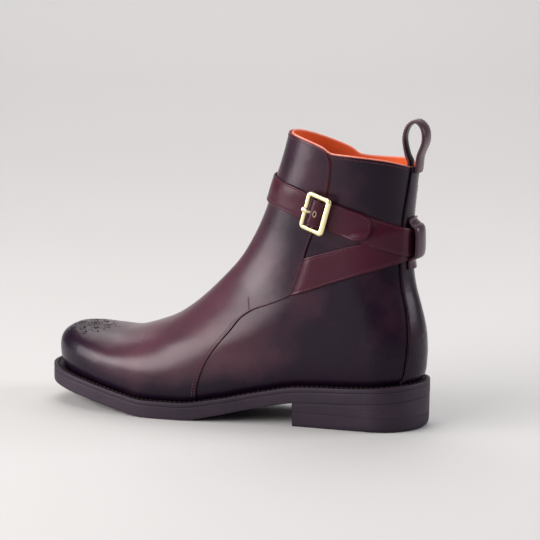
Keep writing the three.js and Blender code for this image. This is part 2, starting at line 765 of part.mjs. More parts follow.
function pullLoopGeometry() {
  const outer = BACKSTAY_OUT + GAP + LOOP_THICKNESS / 2;
  const inner = -WALL - 2 * GAP - LOOP_THICKNESS / 2;
  const middle = (outer + inner) / 2 - LOOP_LEAN;
  const half = (LOOP_BREADTH - LOOP_THICKNESS) / 2;
  const up = (share) => COLLAR_BACK + share * LOOP_HEIGHT;
  return backBand([
    { out: outer, up: up(-0.14) },
    { out: outer, up: up(0.02) },
    { out: middle + 0.66 * half, up: up(0.24) },
    { out: middle + half, up: up(0.57) },
    { out: middle + 0.76 * half, up: up(0.84) },
    { out: middle, up: up(0.97) },
    { out: middle - 0.76 * half, up: up(0.84) },
    { out: middle - half, up: up(0.57) },
    { out: middle - 0.62 * half, up: up(0.24) },
    { out: inner - GAP, up: up(0.06) },
    { out: inner, up: up(-0.08) },
    { out: inner, up: up(-0.25) },
    { out: inner, up: up(-0.45) },
  ], LOOP_WIDTH, LOOP_THICKNESS);
}

const STRAPS_LEVEL = BUCKLE_STRAP_PATH[5].up * COLLAR_FRONT;
const STRAPS_OUT = BACKSTAY_OUT + 3 * STRAP_GAP + 2 * STRAP_THICKNESS;

function keeperGeometry() {
  const seat = BACKSTAY_OUT + SEAT_GAP + KEEPER_THICKNESS / 2;
  const crown = STRAPS_OUT + KEEPER_THICKNESS / 2 + 3 * GAP;
  const reach = STRAP_WIDTH / 2;
  const up = (share) => STRAPS_LEVEL + share * reach;
  return backBand([
    { out: seat, up: up(1.9) },
    { out: seat, up: up(1.7) },
    { out: lerp(seat, crown, 0.6), up: up(1.42) },
    { out: crown, up: up(1.05) },
    { out: crown + 2 * GAP, up: up(0) },
    { out: crown, up: up(-1.05) },
    { out: lerp(seat, crown, 0.6), up: up(-1.42) },
    { out: seat, up: up(-1.7) },
    { out: seat, up: up(-1.9) },
  ], KEEPER_WIDTH, KEEPER_THICKNESS);
}

const vampEdgeUp = [...vampEdge].reverse();

// How far the leather under a strap stands out: quarter, vamp or backstay, with soft changes
function groundLevel(turn, point, onQuarter) {
  const ahead = point.x - alongLine(vampEdgeUp, 'y', 'x', point.z);
  const vamp = onQuarter ? 0 : smoothstep(-9, -1.5, ahead);
  const half = backstayHalf(point.z);
  const back = Math.cos(turn) > 0 ? 1 - smoothstep(half, half + 8, Math.abs(point.y)) : 0;
  return lerp(-VAMP_STEP, 0, vamp) + back * (BACKSTAY_OUT + VAMP_STEP);
}

function strapSpline(path) {
  return new THREE.CatmullRomCurve3(path.map((row) => new THREE.Vector3(
    THREE.MathUtils.degToRad(row.turn),
    row.up * COLLAR_FRONT,
    0,
  )), false, 'centripetal');
}

// Stations along a strap from the path's first point, closer together near its buckle
function strapStations(path, spacing) {
  const fine = strapSpline(path).getPoints(600)
    .map((p) => ({ turn: p.x, z: p.y, point: shaftPoint(p.x, p.y) }));
  const stations = [];
  let walked = 0;
  let due = 0;
  fine.forEach((sample, i) => {
    if (i > 0) walked += sample.point.distanceTo(fine[i - 1].point);
    if (walked >= due || i === fine.length - 1) {
      stations.push({ ...sample, walked });
      due += spacing(sample);
    }
  });
  stations.forEach((station, i) => {
    const next = stations[Math.min(i + 1, stations.length - 1)];
    const last = stations[Math.max(i - 1, 0)];
    station.ahead = next.point.clone().sub(last.point).normalize();
  });
  return stations;
}

// A point beside a strap's middle line, on the leather, with the normal there
function besideStation(station, offset) {
  const frame = shaftFrame(station.turn, station.z);
  const across = new THREE.Vector3().crossVectors(frame.normal, station.ahead).normalize();
  const [rr, ru, uu] = [frame.round.lengthSq(), frame.round.dot(frame.up), frame.up.lengthSq()];
  const [ra, ua] = [frame.round.dot(across), frame.up.dot(across)];
  const determinant = rr * uu - ru * ru;
  const turn = station.turn + offset * (ra * uu - ua * ru) / determinant;
  const z = station.z + offset * (ua * rr - ra * ru) / determinant;
  return { turn, ...shaftFrame(turn, z) };
}

// A flat band along the stations. height gives the underside's distance from the leather, and the
// width and thickness may change along it.
function strapGeometry(stations, { width, height, thickness }) {
  const columns = [-1, -0.4, 0.4, 1];
  const loops = stations.map((station) => {
    const samples = columns.map((column) => besideStation(station, column * width(station) / 2));
    const row = (rise) => samples.map((sample) => {
      const out = height(station, sample) + rise;
      return sample.point.clone().addScaledVector(sample.normal, out);
    });
    return [...row(thickness(station)), ...row(0).reverse()];
  });
  return skin(loops);
}

// Place of the buckle, where the buckle strap's path ends: X back along the strap, Y up across it
const STATION_STEP = 5;
const FINE_STEP = 2.1;
const buckleTurn = THREE.MathUtils.degToRad(BUCKLE_STRAP_PATH[BUCKLE_STRAP_PATH.length - 1].turn);
const buckleStations = strapStations(BUCKLE_STRAP_PATH, (sample) => (
  sample.turn > buckleTurn - 0.7 ? FINE_STEP : STATION_STEP
));
const buckleSeat = buckleStations[buckleStations.length - 1];
const buckleBasis = (() => {
  const frame = shaftFrame(buckleSeat.turn, buckleSeat.z);
  const back = buckleSeat.ahead.clone().negate();
  const up = new THREE.Vector3().crossVectors(frame.normal, back).normalize();
  const along = new THREE.Vector3().crossVectors(up, frame.normal).normalize();
  return new THREE.Matrix4().makeBasis(along, up, frame.normal).setPosition(frame.point);
})();
const intoBuckle = buckleBasis.clone().invert();
const billetStations = strapStations(BILLET_PATH, (sample) => (
  Math.abs(sample.turn + 2 * Math.PI - buckleTurn) < 0.55 ? FINE_STEP : STATION_STEP
));

// Heights over the leather at the buckle, from below: folded end, centre bar, fold, billet
const FOLD_UNDER = STRAP_GAP;
const BAR_CENTRE = FOLD_UNDER + FOLD_THICKNESS + GAP + CENTRE_BAR / 2;
const FOLD_OVER = BAR_CENTRE + CENTRE_BAR / 2 + GAP;
const BILLET_CREST = FOLD_OVER + FOLD_THICKNESS + STRAP_GAP;
const BAR_REACH = (BUCKLE_LENGTH - BUCKLE_BAR) / 2;
const FOLD_RETURN = 0.55 * BAR_REACH;

// How near the billet's first run lies under a point of the buckle strap: 1 over it, 0 clear
const billetRun = billetStations.filter((station) => station.turn > -0.6 * Math.PI);
function billetNear(point) {
  const nearest = Math.min(...billetRun.map((station) => station.point.distanceTo(point)));
  return 1 - smoothstep(STRAP_TAIL_WIDTH / 2 + 3, STRAP_TAIL_WIDTH / 2 + 12, nearest);
}

function tailWidth(station) {
  return lerp(STRAP_TAIL_WIDTH, STRAP_WIDTH, smoothstep(0, 5 * STRAP_TAIL_WIDTH, station.walked));
}

// The straps' lower ends stop at the vamp's free edge
const TAIL_LENGTH = 2 * STRAP_TAIL_WIDTH;
const tailCutter = vampBlock(0.66 * COLLAR_FRONT, GAP);

// The buckle strap's end in the buckle's frame, folded round the centre bar and back under itself
function foldGeometry() {
  const inner = CENTRE_BAR / 2 + GAP;
  const arc = (radius) => steps(8).map((share) => {
    const angle = Math.PI * (0.5 + share);
    return new THREE.Vector2(radius * Math.cos(angle), BAR_CENTRE + radius * Math.sin(angle));
  });
  const shape = new THREE.Shape([
    new THREE.Vector2(CENTRE_BAR, FOLD_OVER + FOLD_THICKNESS),
    ...arc(inner + FOLD_THICKNESS),
    new THREE.Vector2(FOLD_RETURN, FOLD_UNDER),
    new THREE.Vector2(FOLD_RETURN, FOLD_UNDER + FOLD_THICKNESS),
    ...arc(inner).reverse(),
    new THREE.Vector2(CENTRE_BAR, FOLD_OVER),
  ]);
  return acrossBuckle(shape, STRAP_WIDTH);
}

// A side view of the buckle's frame, X along the strap and Y outwards, given a width across it
function acrossBuckle(shape, width) {
  const geometry = new THREE.ExtrudeGeometry(shape, { depth: width, bevelEnabled: false });
  return geometry.rotateX(Math.PI / 2).translate(0, width / 2, 0);
}

function boxSolid(low, high) {
  const shape = new THREE.Shape([
    new THREE.Vector2(low.x, low.z),
    new THREE.Vector2(high.x, low.z),
    new THREE.Vector2(high.x, high.z),
    new THREE.Vector2(low.x, high.z),
  ]);
  return acrossBuckle(shape, high.y - low.y).translate(0, (high.y + low.y) / 2, 0);
}

// The slot in the fold for the prong's eye, and the hole in the billet for its shank
const PRONG_ROOM = PRONG_WIDTH + 2 * GAP;
function prongRoom(from, to) {
  const low = new THREE.Vector3(from, -PRONG_ROOM / 2, 0);
  const high = new THREE.Vector3(to, PRONG_ROOM / 2, BILLET_CREST + 2 * STRAP_THICKNESS);
  return toSolid(boxSolid(low, high).applyMatrix4(buckleBasis));
}

function buckleStrapGeometry() {
  const toBar = (station) => buckleSeat.walked - station.walked;
  const main = strapGeometry(buckleStations, {
    width: tailWidth,
    thickness: (station) => lerp(
      FOLD_THICKNESS,
      STRAP_THICKNESS,
      smoothstep(0, 3 * BAR_REACH, toBar(station)),
    ),
    height: (station, sample) => {
      const rise = 1 - smoothstep(CENTRE_BAR, BAR_REACH, toBar(station));
      const ground = groundLevel(sample.turn, sample.point, station.walked < TAIL_LENGTH);
      const over = billetNear(sample.point) * (STRAP_THICKNESS + STRAP_GAP);
      return lerp(ground + STRAP_GAP + over, FOLD_OVER, rise);
    },
  });
  return toGeometry(toSolid(main)
    .add(toSolid(foldGeometry().applyMatrix4(buckleBasis)))
    .subtract(prongRoom(-BAR_REACH, 0.6 * BAR_REACH))
    .subtract(tailCutter));
}

// The billet passes under the frame's front bar, over the centre bar and under the rear bar, and
// its round end lies on the buckle strap
function billetGeometry() {
  const end = billetStations[billetStations.length - 1].walked;
  const alongBuckle = (station) => (
    station.turn < -Math.PI ? station.point.clone().applyMatrix4(intoBuckle).x : -Infinity
  );
  const body = strapGeometry(billetStations, {
    width: (station) => {
      const short = Math.min(1, (end - station.walked) / (STRAP_WIDTH / 2));
      return tailWidth(station) * Math.max(0.3, Math.sqrt(1 - (1 - short) ** 2));
    },
    thickness: () => STRAP_THICKNESS,
    height: (station, sample) => {
      const along = alongBuckle(station);
      const crest = smoothstep(-0.78 * BAR_REACH, -0.3 * BAR_REACH, along)
        * (1 - smoothstep(0.25 * BAR_REACH, 0.95 * BAR_REACH, along));
      const over = smoothstep(-0.3 * BAR_REACH, 0.2 * BAR_REACH, along);
      const layers = over > 0 ? over + billetNear(sample.point) : 0;
      const ground = groundLevel(sample.turn, sample.point, station.walked < TAIL_LENGTH);
      const level = ground + STRAP_GAP + layers * (STRAP_THICKNESS + STRAP_GAP);
      return lerp(level, BILLET_CREST, crest);
    },
  });
  return toGeometry(toSolid(body)
    .subtract(prongRoom(-0.86 * BAR_REACH, -0.28 * BAR_REACH))
    .subtract(tailCutter));
}

// Buckle, in its own frame: a flat frame tilted up at the back, with a lower centre bar
const FRONT_BAR_OUT = 4.6;
const REAR_BAR_OUT = 6.8;
const FRAME_OUT = (FRONT_BAR_OUT + REAR_BAR_OUT) / 2;
const FRAME_TILT = Math.atan2(REAR_BAR_OUT - FRONT_BAR_OUT, 2 * BAR_REACH);

function roundedRectangle(path, width, height, radius) {
  const [x, y] = [width / 2, height / 2];
  path.moveTo(-x + radius, -y);
  path.lineTo(x - radius, -y);
  path.absarc(x - radius, -y + radius, radius, -Math.PI / 2, 0);
  path.lineTo(x, y - radius);
  path.absarc(x - radius, y - radius, radius, 0, Math.PI / 2);
  path.lineTo(-x + radius, y);
  path.absarc(-x + radius, y - radius, radius, Math.PI / 2, Math.PI);
  path.lineTo(-x, -y + radius);
  path.absarc(-x + radius, -y + radius, radius, Math.PI, 1.5 * Math.PI);
  return path;
}

function buckleFrameGeometry() {
  const shape = roundedRectangle(new THREE.Shape(), BUCKLE_LENGTH, BUCKLE_HEIGHT, BUCKLE_CORNER);
  shape.holes.push(roundedRectangle(
    new THREE.Path(),
    BUCKLE_LENGTH - 2 * BUCKLE_BAR,
    BUCKLE_HEIGHT - 2 * BUCKLE_BAR,
    0.3 * BUCKLE_CORNER,
  ));
  const rim = new THREE.ExtrudeGeometry(shape, {
    depth: BUCKLE_THICKNESS,
    bevelEnabled: false,
    curveSegments: 3,
  });
  rim.translate(0, 0, -BUCKLE_THICKNESS / 2).rotateY(-FRAME_TILT).translate(0, 0, FRAME_OUT);
  const span = BUCKLE_HEIGHT - BUCKLE_BAR;
  const bar = new THREE.CylinderGeometry(CENTRE_BAR / 2, CENTRE_BAR / 2, span, 10);
  bar.translate(0, 0, BAR_CENTRE);
  const posts = [-1, 1].map((end) => {
    const inner = (BUCKLE_HEIGHT / 2 - 0.95 * BUCKLE_BAR);
    const outer = (BUCKLE_HEIGHT / 2 - 0.1 * BUCKLE_BAR);
    const [low, high] = end > 0 ? [inner, outer] : [-outer, -inner];
    return boxSolid(
      new THREE.Vector3(-CENTRE_BAR / 2, low, BAR_CENTRE - CENTRE_BAR / 2),
      new THREE.Vector3(CENTRE_BAR / 2, high, FRAME_OUT),
    );
  });
  return toGeometry([bar, ...posts].reduce((solid, part) => solid.add(toSolid(part)), toSolid(rim)));
}

// Prong, in the buckle's frame: an eye round the centre bar, and a shank up through the billet to
// the front bar
function buckleProngGeometry() {
  const eyeInner = CENTRE_BAR / 2 + GAP;
  const eyeOuter = eyeInner + 0.8;
  const rest = FRONT_BAR_OUT + BUCKLE_THICKNESS / 2 + GAP;
  const eye = new THREE.CylinderGeometry(eyeOuter, eyeOuter, PRONG_WIDTH, 16);
  const bore = new THREE.CylinderGeometry(eyeInner, eyeInner, 2 * PRONG_WIDTH, 16);
  const shank = new THREE.Shape([
    new THREE.Vector2(-0.5 * eyeOuter, BAR_CENTRE + 0.86 * eyeOuter),
    new THREE.Vector2(-0.95 * eyeOuter, BAR_CENTRE + 0.2 * eyeOuter),
    new THREE.Vector2(-0.62 * BAR_REACH, rest - 0.5),
    new THREE.Vector2(-0.8 * BAR_REACH, rest),
    new THREE.Vector2(-1.22 * BAR_REACH, rest - 0.2),
    new THREE.Vector2(-1.24 * BAR_REACH, rest + 0.5),
    new THREE.Vector2(-1.1 * BAR_REACH, rest + 1.4),
    new THREE.Vector2(-0.7 * BAR_REACH, rest + 1.3),
    new THREE.Vector2(-0.5 * BAR_REACH, rest + 0.7),
  ]);
  eye.translate(0, 0, BAR_CENTRE);
  bore.translate(0, 0, BAR_CENTRE);
  return toGeometry(toSolid(eye).add(toSolid(acrossBuckle(shank, PRONG_WIDTH))).subtract(toSolid(bore)));
}

// Finishes
function leather(color, roughness) {
  return new THREE.MeshStandardMaterial({ color, roughness, metalness: 0 });
}
const upperLeather = leather(0x3a2326, 0.42);
const strapLeather = leather(0x4a1a22, 0.45);
const soleLeather = leather(0x2c2126, 0.5);
const insoleLeather = leather(0xb9572c, 0.6);
const rubber = leather(0x231b20, 0.7);
const brass = new THREE.MeshStandardMaterial({ color: 0xd8c07a, roughness: 0.25, metalness: 1 });

function piece(name, geometry, material) {
  const mesh = new THREE.Mesh(geometry, material);
  mesh.name = name;
  return mesh;
}

const buckle = new THREE.Group();
buckle.applyMatrix4(buckleBasis);
buckle.add(
  piece('buckle_frame', buckleFrameGeometry(), brass),
  piece('buckle_prong', buckleProngGeometry(), brass),
);

const group = new THREE.Group();
group.add(
  piece('heel_top_piece', heelTopPieceGeometry(), rubber),
  piece('heel_lift', heelLiftGeometry(), soleLeather),
  piece('outsole', outsoleGeometry(), rubber),
  piece('welt', weltGeometry(), soleLeather),
  piece('insole', insoleGeometry(), insoleLeather),
  piece('upper', upperGeometry(), upperLeather),
  piece('backstay', backstayGeometry(), upperLeather),
  piece('pull_loop', pullLoopGeometry(), strapLeather),
  piece('strap_keeper', keeperGeometry(), upperLeather),
  piece('billet_strap', billetGeometry(), strapLeather),
  piece('buckle_strap', buckleStrapGeometry(), strapLeather),
  buckle,
);

// The origin lies under the middle of the boot, on the floor
group.updateMatrixWorld(true);
const box = new THREE.Box3().setFromObject(group, true);
const centre = box.getCenter(new THREE.Vector3());
group.position.set(-centre.x, -centre.y, -box.min.z);
group.updateMatrixWorld(true);

export default group;
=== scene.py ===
"""Left jodhpur boot: a welted leather boot with a strap wrapped twice round its ankle.

Lengths in the tables and functions are in millimetres, x from the back of the heel to the toe,
y to the outer side of the foot and z up. place() turns them into the frame's metres.
"""
import math

import bmesh
import bpy
import numpy as np
from bpy.props import FloatProperty, FloatVectorProperty, PointerProperty
from mathutils import Matrix, Vector


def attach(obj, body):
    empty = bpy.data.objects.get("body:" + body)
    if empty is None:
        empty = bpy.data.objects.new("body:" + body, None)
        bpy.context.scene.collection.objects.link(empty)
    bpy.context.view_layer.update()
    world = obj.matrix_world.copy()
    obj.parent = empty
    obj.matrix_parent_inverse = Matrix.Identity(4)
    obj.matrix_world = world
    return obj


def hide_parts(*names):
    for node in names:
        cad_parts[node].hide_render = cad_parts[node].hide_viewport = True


bl_info = {
    "name": "Jodhpur boot",
    "version": (1, 0, 0),
    "blender": (4, 5, 0),
    "location": "3D View > Sidebar > Boot",
    "description": "Builds a left jodhpur boot over its solids, with its light and camera",
    "category": "Object",
}

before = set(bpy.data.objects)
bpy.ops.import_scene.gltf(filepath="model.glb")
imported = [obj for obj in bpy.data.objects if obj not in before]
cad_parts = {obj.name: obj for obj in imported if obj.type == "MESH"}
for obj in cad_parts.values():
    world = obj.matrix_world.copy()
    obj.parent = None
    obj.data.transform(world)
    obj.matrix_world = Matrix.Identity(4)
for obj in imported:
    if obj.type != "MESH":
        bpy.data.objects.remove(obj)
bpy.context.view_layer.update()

# Sizes shared with the solids
SOLE_LENGTH = 303.0
BALL_WIDTH = 105.0
HEEL_WIDTH = 71.0
HEEL_SEAT = 35.5
TOE_SPRING = 15.5
WELT_THICKNESS = 3.4
OUTSOLE_THICKNESS = 9.4
WAIST_THICKNESS = 8.0
HEEL_LENGTH = 93.0
TOP_PIECE_THICKNESS = 11.0
INSOLE_THICKNESS = 3.0
WELT_REACH = 3.2
TOE_REACH = 5.7
FEATHER_INSET = 4.0
WIDEST_RISE = 14.0
TOE_TOP = 59.0
COLLAR_FRONT = 215.0
COLLAR_BACK = 193.5
COLLAR_WIDTH = 70.0
MEDIAL_DROP = 8.0
WALL = 3.0
VAMP_STEP = 1.0
FLAP_CORNER = 6.0
GAP = 0.3
SEAT_GAP = 0.45
STRAP_GAP = 0.6
BACKSTAY_THICKNESS = 1.2
BACKSTAY_TOP_WIDTH = 17.0
BACKSTAY_FOOT_WIDTH = 46.0
LOOP_WIDTH = 14.0
LOOP_THICKNESS = 2.2
LOOP_HEIGHT = 33.0
LOOP_BREADTH = 18.5
LOOP_LEAN = 2.0
KEEPER_WIDTH = 14.0
KEEPER_THICKNESS = 2.2
STRAP_WIDTH = 20.5
STRAP_THICKNESS = 1.8
STRAP_TAIL_WIDTH = 24.0
FOLD_THICKNESS = 1.0
BUCKLE_HEIGHT = 29.0
BUCKLE_LENGTH = 19.5
BUCKLE_BAR = 3.3
BUCKLE_THICKNESS = 2.6
BUCKLE_CORNER = 3.0
CENTRE_BAR = 2.0
PRONG_WIDTH = 2.4
FRONT_BAR_OUT = 4.6
REAR_BAR_OUT = 6.8
HEEL_ROUND = 0.507 * HEEL_WIDTH
TOE_ROUND = 0.514 * BALL_WIDTH
WELT_TOP_LOW = WELT_THICKNESS + GAP + OUTSOLE_THICKNESS
BACKSTAY_OUT = BACKSTAY_THICKNESS + SEAT_GAP - VAMP_STEP
BAR_REACH = (BUCKLE_LENGTH - BUCKLE_BAR) / 2

# Sizes of the finished pieces alone
LEATHER_THICKNESS = 2.1
LINING_START = 2.14
WELT_LIFT = 0.04
STRAP_REST = 0.12
STATION_PITCH = 1.5
STITCH_SHARE = 0.845
STITCH_RISE = 0.93
BEAD_RINGS = 7
BEAD_SIDES = 6
RIB_PITCH = 2.35
RIB_DEPTH = 0.09
WELT_STITCH_INSET = 3.3

# Where the middle of the boot's box lies, in the millimetres of the tables
BOX_MIDDLE = np.array([151.5, -1.711, 0.0])

# Share of the sole's length, rise of the toe, rise of the shaft
FRONT_PROFILE = [
    (0.981, 0.0, 0), (0.972, 0.57, 0), (0.94, 0.93, 0), (0.898, 1, 0.001), (0.847, 1, -0.004),
    (0.783, 1, -0.003), (0.717, 1, 0.033), (0.653, 1, 0.085), (0.593, 1, 0.167),
    (0.537, 1, 0.269), (0.486, 1, 0.378), (0.448, 1, 0.498), (0.419, 1, 0.619),
    (0.397, 1, 0.745), (0.374, 1, 0.874), (0.356, 1, 1), (0.342, 1, 1.12),
]
# Share of the rise from the heel seat to the collar, inset as a share of the heel's width
BACK_PROFILE = [
    (0, 0.078), (0.09, 0.039), (0.145, 0.034), (0.231, 0.049), (0.332, 0.1), (0.434, 0.161),
    (0.547, 0.195), (0.661, 0.196), (0.775, 0.187), (0.902, 0.161), (1.073, 0.116), (1.28, 0.07),
]
# Share of the sole's length, half widths of the outer and inner side, shift of the middle
SOLE_PLAN = [
    (0, 0, 0, 0), (0.14, 0, 0, 0), (0.27, 0.03, -0.04, 0), (0.38, 0.19, 0.03, 0),
    (0.495, 0.59, 0.36, -0.003), (0.594, 0.91, 0.74, -0.01), (0.677, 1.03, 0.94, -0.016),
    (0.743, 0.94, 0.98, -0.024), (0.809, 0.74, 0.83, -0.034), (0.875, 0.54, 0.66, -0.046),
    (0.941, 0.44, 0.5, -0.056), (1, 0.42, 0.44, -0.062),
]
# Share of the sole's length, share of the heel's height, share of the toe spring
WELT_LINE = [
    (0, 1, 0), (0.149, 0.84, 0), (0.297, 0.73, 0), (0.396, 0.48, 0), (0.495, 0.19, 0),
    (0.594, 0, 0), (0.677, 0, 0), (0.775, 0, 0.28), (0.858, 0, 0.57), (0.924, 0, 0.77), (1, 0, 1),
]
# Share of the collar's height, share of its half width
SHAFT_WIDTH = [
    (0.18, 0.9), (0.33, 0.886), (0.465, 0.843), (0.605, 0.843), (0.744, 0.9), (0.884, 0.965),
    (1.1, 1.04),
]
# Share of the collar from back to front, share of its rise
COLLAR_RIM = [
    (0, 0), (0.05, 0.18), (0.17, 0.34), (0.39, 0.42), (0.56, 0.46), (0.64, 0.65), (0.82, 0.86),
    (1, 1),
]
# Rear edge of the vamp: share of the sole's length, share of the collar's front height
VAMP_EDGE = [
    (0.236, 0.972), (0.223, 0.962), (0.2145, 0.94), (0.214, 0.895), (0.219, 0.84), (0.234, 0.76),
    (0.261, 0.675), (0.279, 0.612), (0.294, 0.54), (0.307, 0.485), (0.321, 0.45), (0.366, 0.42),
    (0.413, 0.395), (0.446, 0.363), (0.468, 0.321), (0.501, 0.26), (0.527, 0.198), (0.545, 0.12),
    (0.552, 0.03),
]
# Share of the rise from the heel seat to the collar, share of the backstay's spread
BACKSTAY_SPREAD = [
    (0, 1), (0.09, 0.94), (0.22, 0.74), (0.35, 0.49), (0.52, 0.35), (0.75, 0.2), (0.88, 0.07),
    (1, 0),
]
# Degrees round the shaft from the back, outer side first, and share of the collar's front height
BILLET_PATH = [
    (108, 0.493), (97.5, 0.514), (80, 0.552), (54, 0.594), (18, 0.627), (0, 0.636), (-18, 0.646),
    (-44, 0.674), (-66, 0.706), (-96, 0.748), (-126, 0.785), (-155, 0.801), (-180, 0.805),
    (-205, 0.799), (-234, 0.783), (-264, 0.745), (-294, 0.706), (-308, 0.686),
]
BUCKLE_STRAP_PATH = [
    (-108, 0.493), (-97.5, 0.514), (-80, 0.552), (-54, 0.594), (-18, 0.627), (0, 0.636),
    (18, 0.646), (44, 0.674), (66, 0.706), (96, 0.745),
]


def lerp(start, end, share):
    """The straight mix of start and end by a share."""
    return start + (end - start) * share


def smoothstep(low, high, value):
    """A soft step: 3 t squared less 2 t cubed, where t is how far value is from low to high."""
    t = np.clip((value - low) / (high - low), 0, 1)
    return t * t * (3 - 2 * t)


def soft_least(a, b, blend):
    """The lesser of two values, rounded where they cross: half of (a + b) less half of the root
    of (a - b) squared plus blend squared."""
    soft = np.minimum(blend, 8)
    return (a + b - np.sqrt((a - b) ** 2 + soft * soft)) / 2


def round_end(share, power):
    """Quarter of a superellipse: (1 - (1 - share) ^ power) ^ (1 / power), and 1 past the end."""
    inside = 1 - np.clip(share, 0, 1)
    return np.maximum(1 - inside ** power, 0) ** (1 / power)


def table_curve(inputs, outputs):
    """A curve through rows that never swings past them: cubic pieces, whose slope at a row is the
    weighted harmonic mean of the straight slopes on both sides, or 0 where those turn."""
    xs = np.array(inputs, float)
    ys = np.array(outputs, float)
    step = np.diff(xs)
    slope = np.diff(ys) / step
    before = 2 * step[1:] + step[:-1]
    after = step[1:] + 2 * step[:-1]
    turning = slope[:-1] * slope[1:] <= 0
    safe = [np.where(turning, 1, part) for part in (slope[:-1], slope[1:])]
    mean = (before + after) / (before / safe[0] + after / safe[1])
    tangent = np.concatenate([slope[:1], np.where(turning, 0, mean), slope[-1:]])

    def curve(x):
        x = np.clip(x, xs[0], xs[-1])
        i = np.clip(np.searchsorted(xs, x, side="right") - 1, 0, len(step) - 1)
        t = (x - xs[i]) / step[i]
        rise = t * t * (3 - 2 * t)
        bend = tangent[i] * t * (1 - t) ** 2 - tangent[i + 1] * t * t * (1 - t)
        return ys[i] * (1 - rise) + ys[i + 1] * rise + step[i] * bend

    return curve


def cubic(start, end, leave, arrive, w):
    """The cubic piece from start to end whose tangents there are leave and arrive."""
    third = 2 * start - 2 * end + leave + arrive
    second = 3 * end - 3 * start - 2 * leave - arrive
    return third * w ** 3 + second * w ** 2 + leave * w + start


def spline_line(points, count):
    """Points of a Catmull-Rom curve: cubic pieces whose tangent at a point is half of the step
    from the point before it to the one after it."""
    p = np.array(points, float)
    last = len(p) - 1
    t = np.linspace(0, last, count + 1)
    i = np.minimum(t.astype(int), last - 1)
    w = (t - i)[:, None]
    p0, p1, p2, p3 = p[np.maximum(i - 1, 0)], p[i], p[i + 1], p[np.minimum(i + 2, last)]
    v0 = (p2 - p0) / 2
    v1 = (p3 - p1) / 2
    return cubic(p1, p2, v0, v1, w)


def even_spline(points, count):
    """Points of a Catmull-Rom curve whose pieces are timed by the fourth root of their squared
    length, so that it keeps its shape where rows are far apart."""
    p = np.array(points, float)
    p = np.vstack([2 * p[0] - p[1], p, 2 * p[-1] - p[-2]])
    last = len(p) - 4
    t = np.linspace(0, last + 1, count + 1)
    i = np.minimum(t.astype(int), last)
    w = (t - i)[:, None]
    p0, p1, p2, p3 = p[i], p[i + 1], p[i + 2], p[i + 3]
    d0, d1, d2 = [
        np.linalg.norm(b - a, axis=1, keepdims=True) ** 0.5
        for a, b in ((p0, p1), (p1, p2), (p2, p3))
    ]
    v0 = d1 * ((p1 - p0) / d0 - (p2 - p0) / (d0 + d1) + (p2 - p1) / d1)
    v1 = d1 * ((p2 - p1) / d1 - (p3 - p1) / (d1 + d2) + (p3 - p2) / d2)
    return cubic(p1, p2, v0, v1, w)


def unit(vectors):
    """The vectors at length 1."""
    return vectors / np.maximum(np.linalg.norm(vectors, axis=-1, keepdims=True), 1e-12)


def circle_turns(count):
    """Even angles round a circle."""
    return np.linspace(0, 2 * math.pi, count + 1)[:-1]


def column_curve(table, i):
    """The curve of a table's column i over its first column."""
    return table_curve([row[0] for row in table], [row[i] for row in table])


plan_half = {1: column_curve(SOLE_PLAN, 1), -1: column_curve(SOLE_PLAN, 2)}
plan_shift = column_curve(SOLE_PLAN, 3)
heel_share = column_curve(WELT_LINE, 1)
toe_share = column_curve(WELT_LINE, 2)
shaft_half = column_curve(SHAFT_WIDTH, 1)
rim_rise = column_curve(COLLAR_RIM, 1)
backstay_spread = column_curve(BACKSTAY_SPREAD, 1)


def sole_half(x, outer):
    """Half width of the sole, mixed from the heel's and the ball's by the table."""
    share = np.where(outer, plan_half[1](x / SOLE_LENGTH), plan_half[-1](x / SOLE_LENGTH))
    return lerp(HEEL_WIDTH, BALL_WIDTH, share) / 2


def sole_middle(x):
    """The sole's middle line, which bends inwards at the toe."""
    return plan_shift(x / SOLE_LENGTH) * BALL_WIDTH


def middle_at(x, z):
    """The sole's middle line, straightened out with height."""
    return sole_middle(x) * (1 - smoothstep(0.28 * COLLAR_FRONT, 0.56 * COLLAR_FRONT, z))


def welt_top(x):
    """Height of the welt: its lowest, plus shares of the heel's height and the toe spring."""
    along = x / SOLE_LENGTH
    lift = heel_share(along) * (HEEL_SEAT - WELT_TOP_LOW) + toe_share(along) * TOE_SPRING
    return WELT_TOP_LOW + lift


def outsole_bottom(x):
    """Height of the sole's underside. Its thickness goes from the waist's to the forefoot's."""
    waist = 1 - smoothstep(0.42, 0.58, x / SOLE_LENGTH)
    return welt_top(x) - WELT_THICKNESS - GAP - lerp(OUTSOLE_THICKNESS, WAIST_THICKNESS, waist)


def sole_edge(turn, offset):
    """Plan point of the sole's outline. x follows half of (1 - cos turn), the half width is the
    table's, rounded at both ends, and offset moves the point along the outward normal."""
    def at(angle):
        x = SOLE_LENGTH * (1 - np.cos(angle)) / 2
        outer = np.sin(angle) >= 0
        ends = round_end((SOLE_LENGTH - x) / TOE_ROUND, 2.1) * round_end(x / HEEL_ROUND, 2)
        half = sole_half(x, outer) * ends
        return np.stack([x, np.where(outer, half, -half) + sole_middle(x)], axis=-1)
    ahead = unit(at(turn + 0.01) - at(turn - 0.01))
    out = np.stack([-ahead[..., 1], ahead[..., 0]], axis=-1)
    return at(turn) + out * np.expand_dims(np.asarray(offset, float) + 0 * turn, -1)


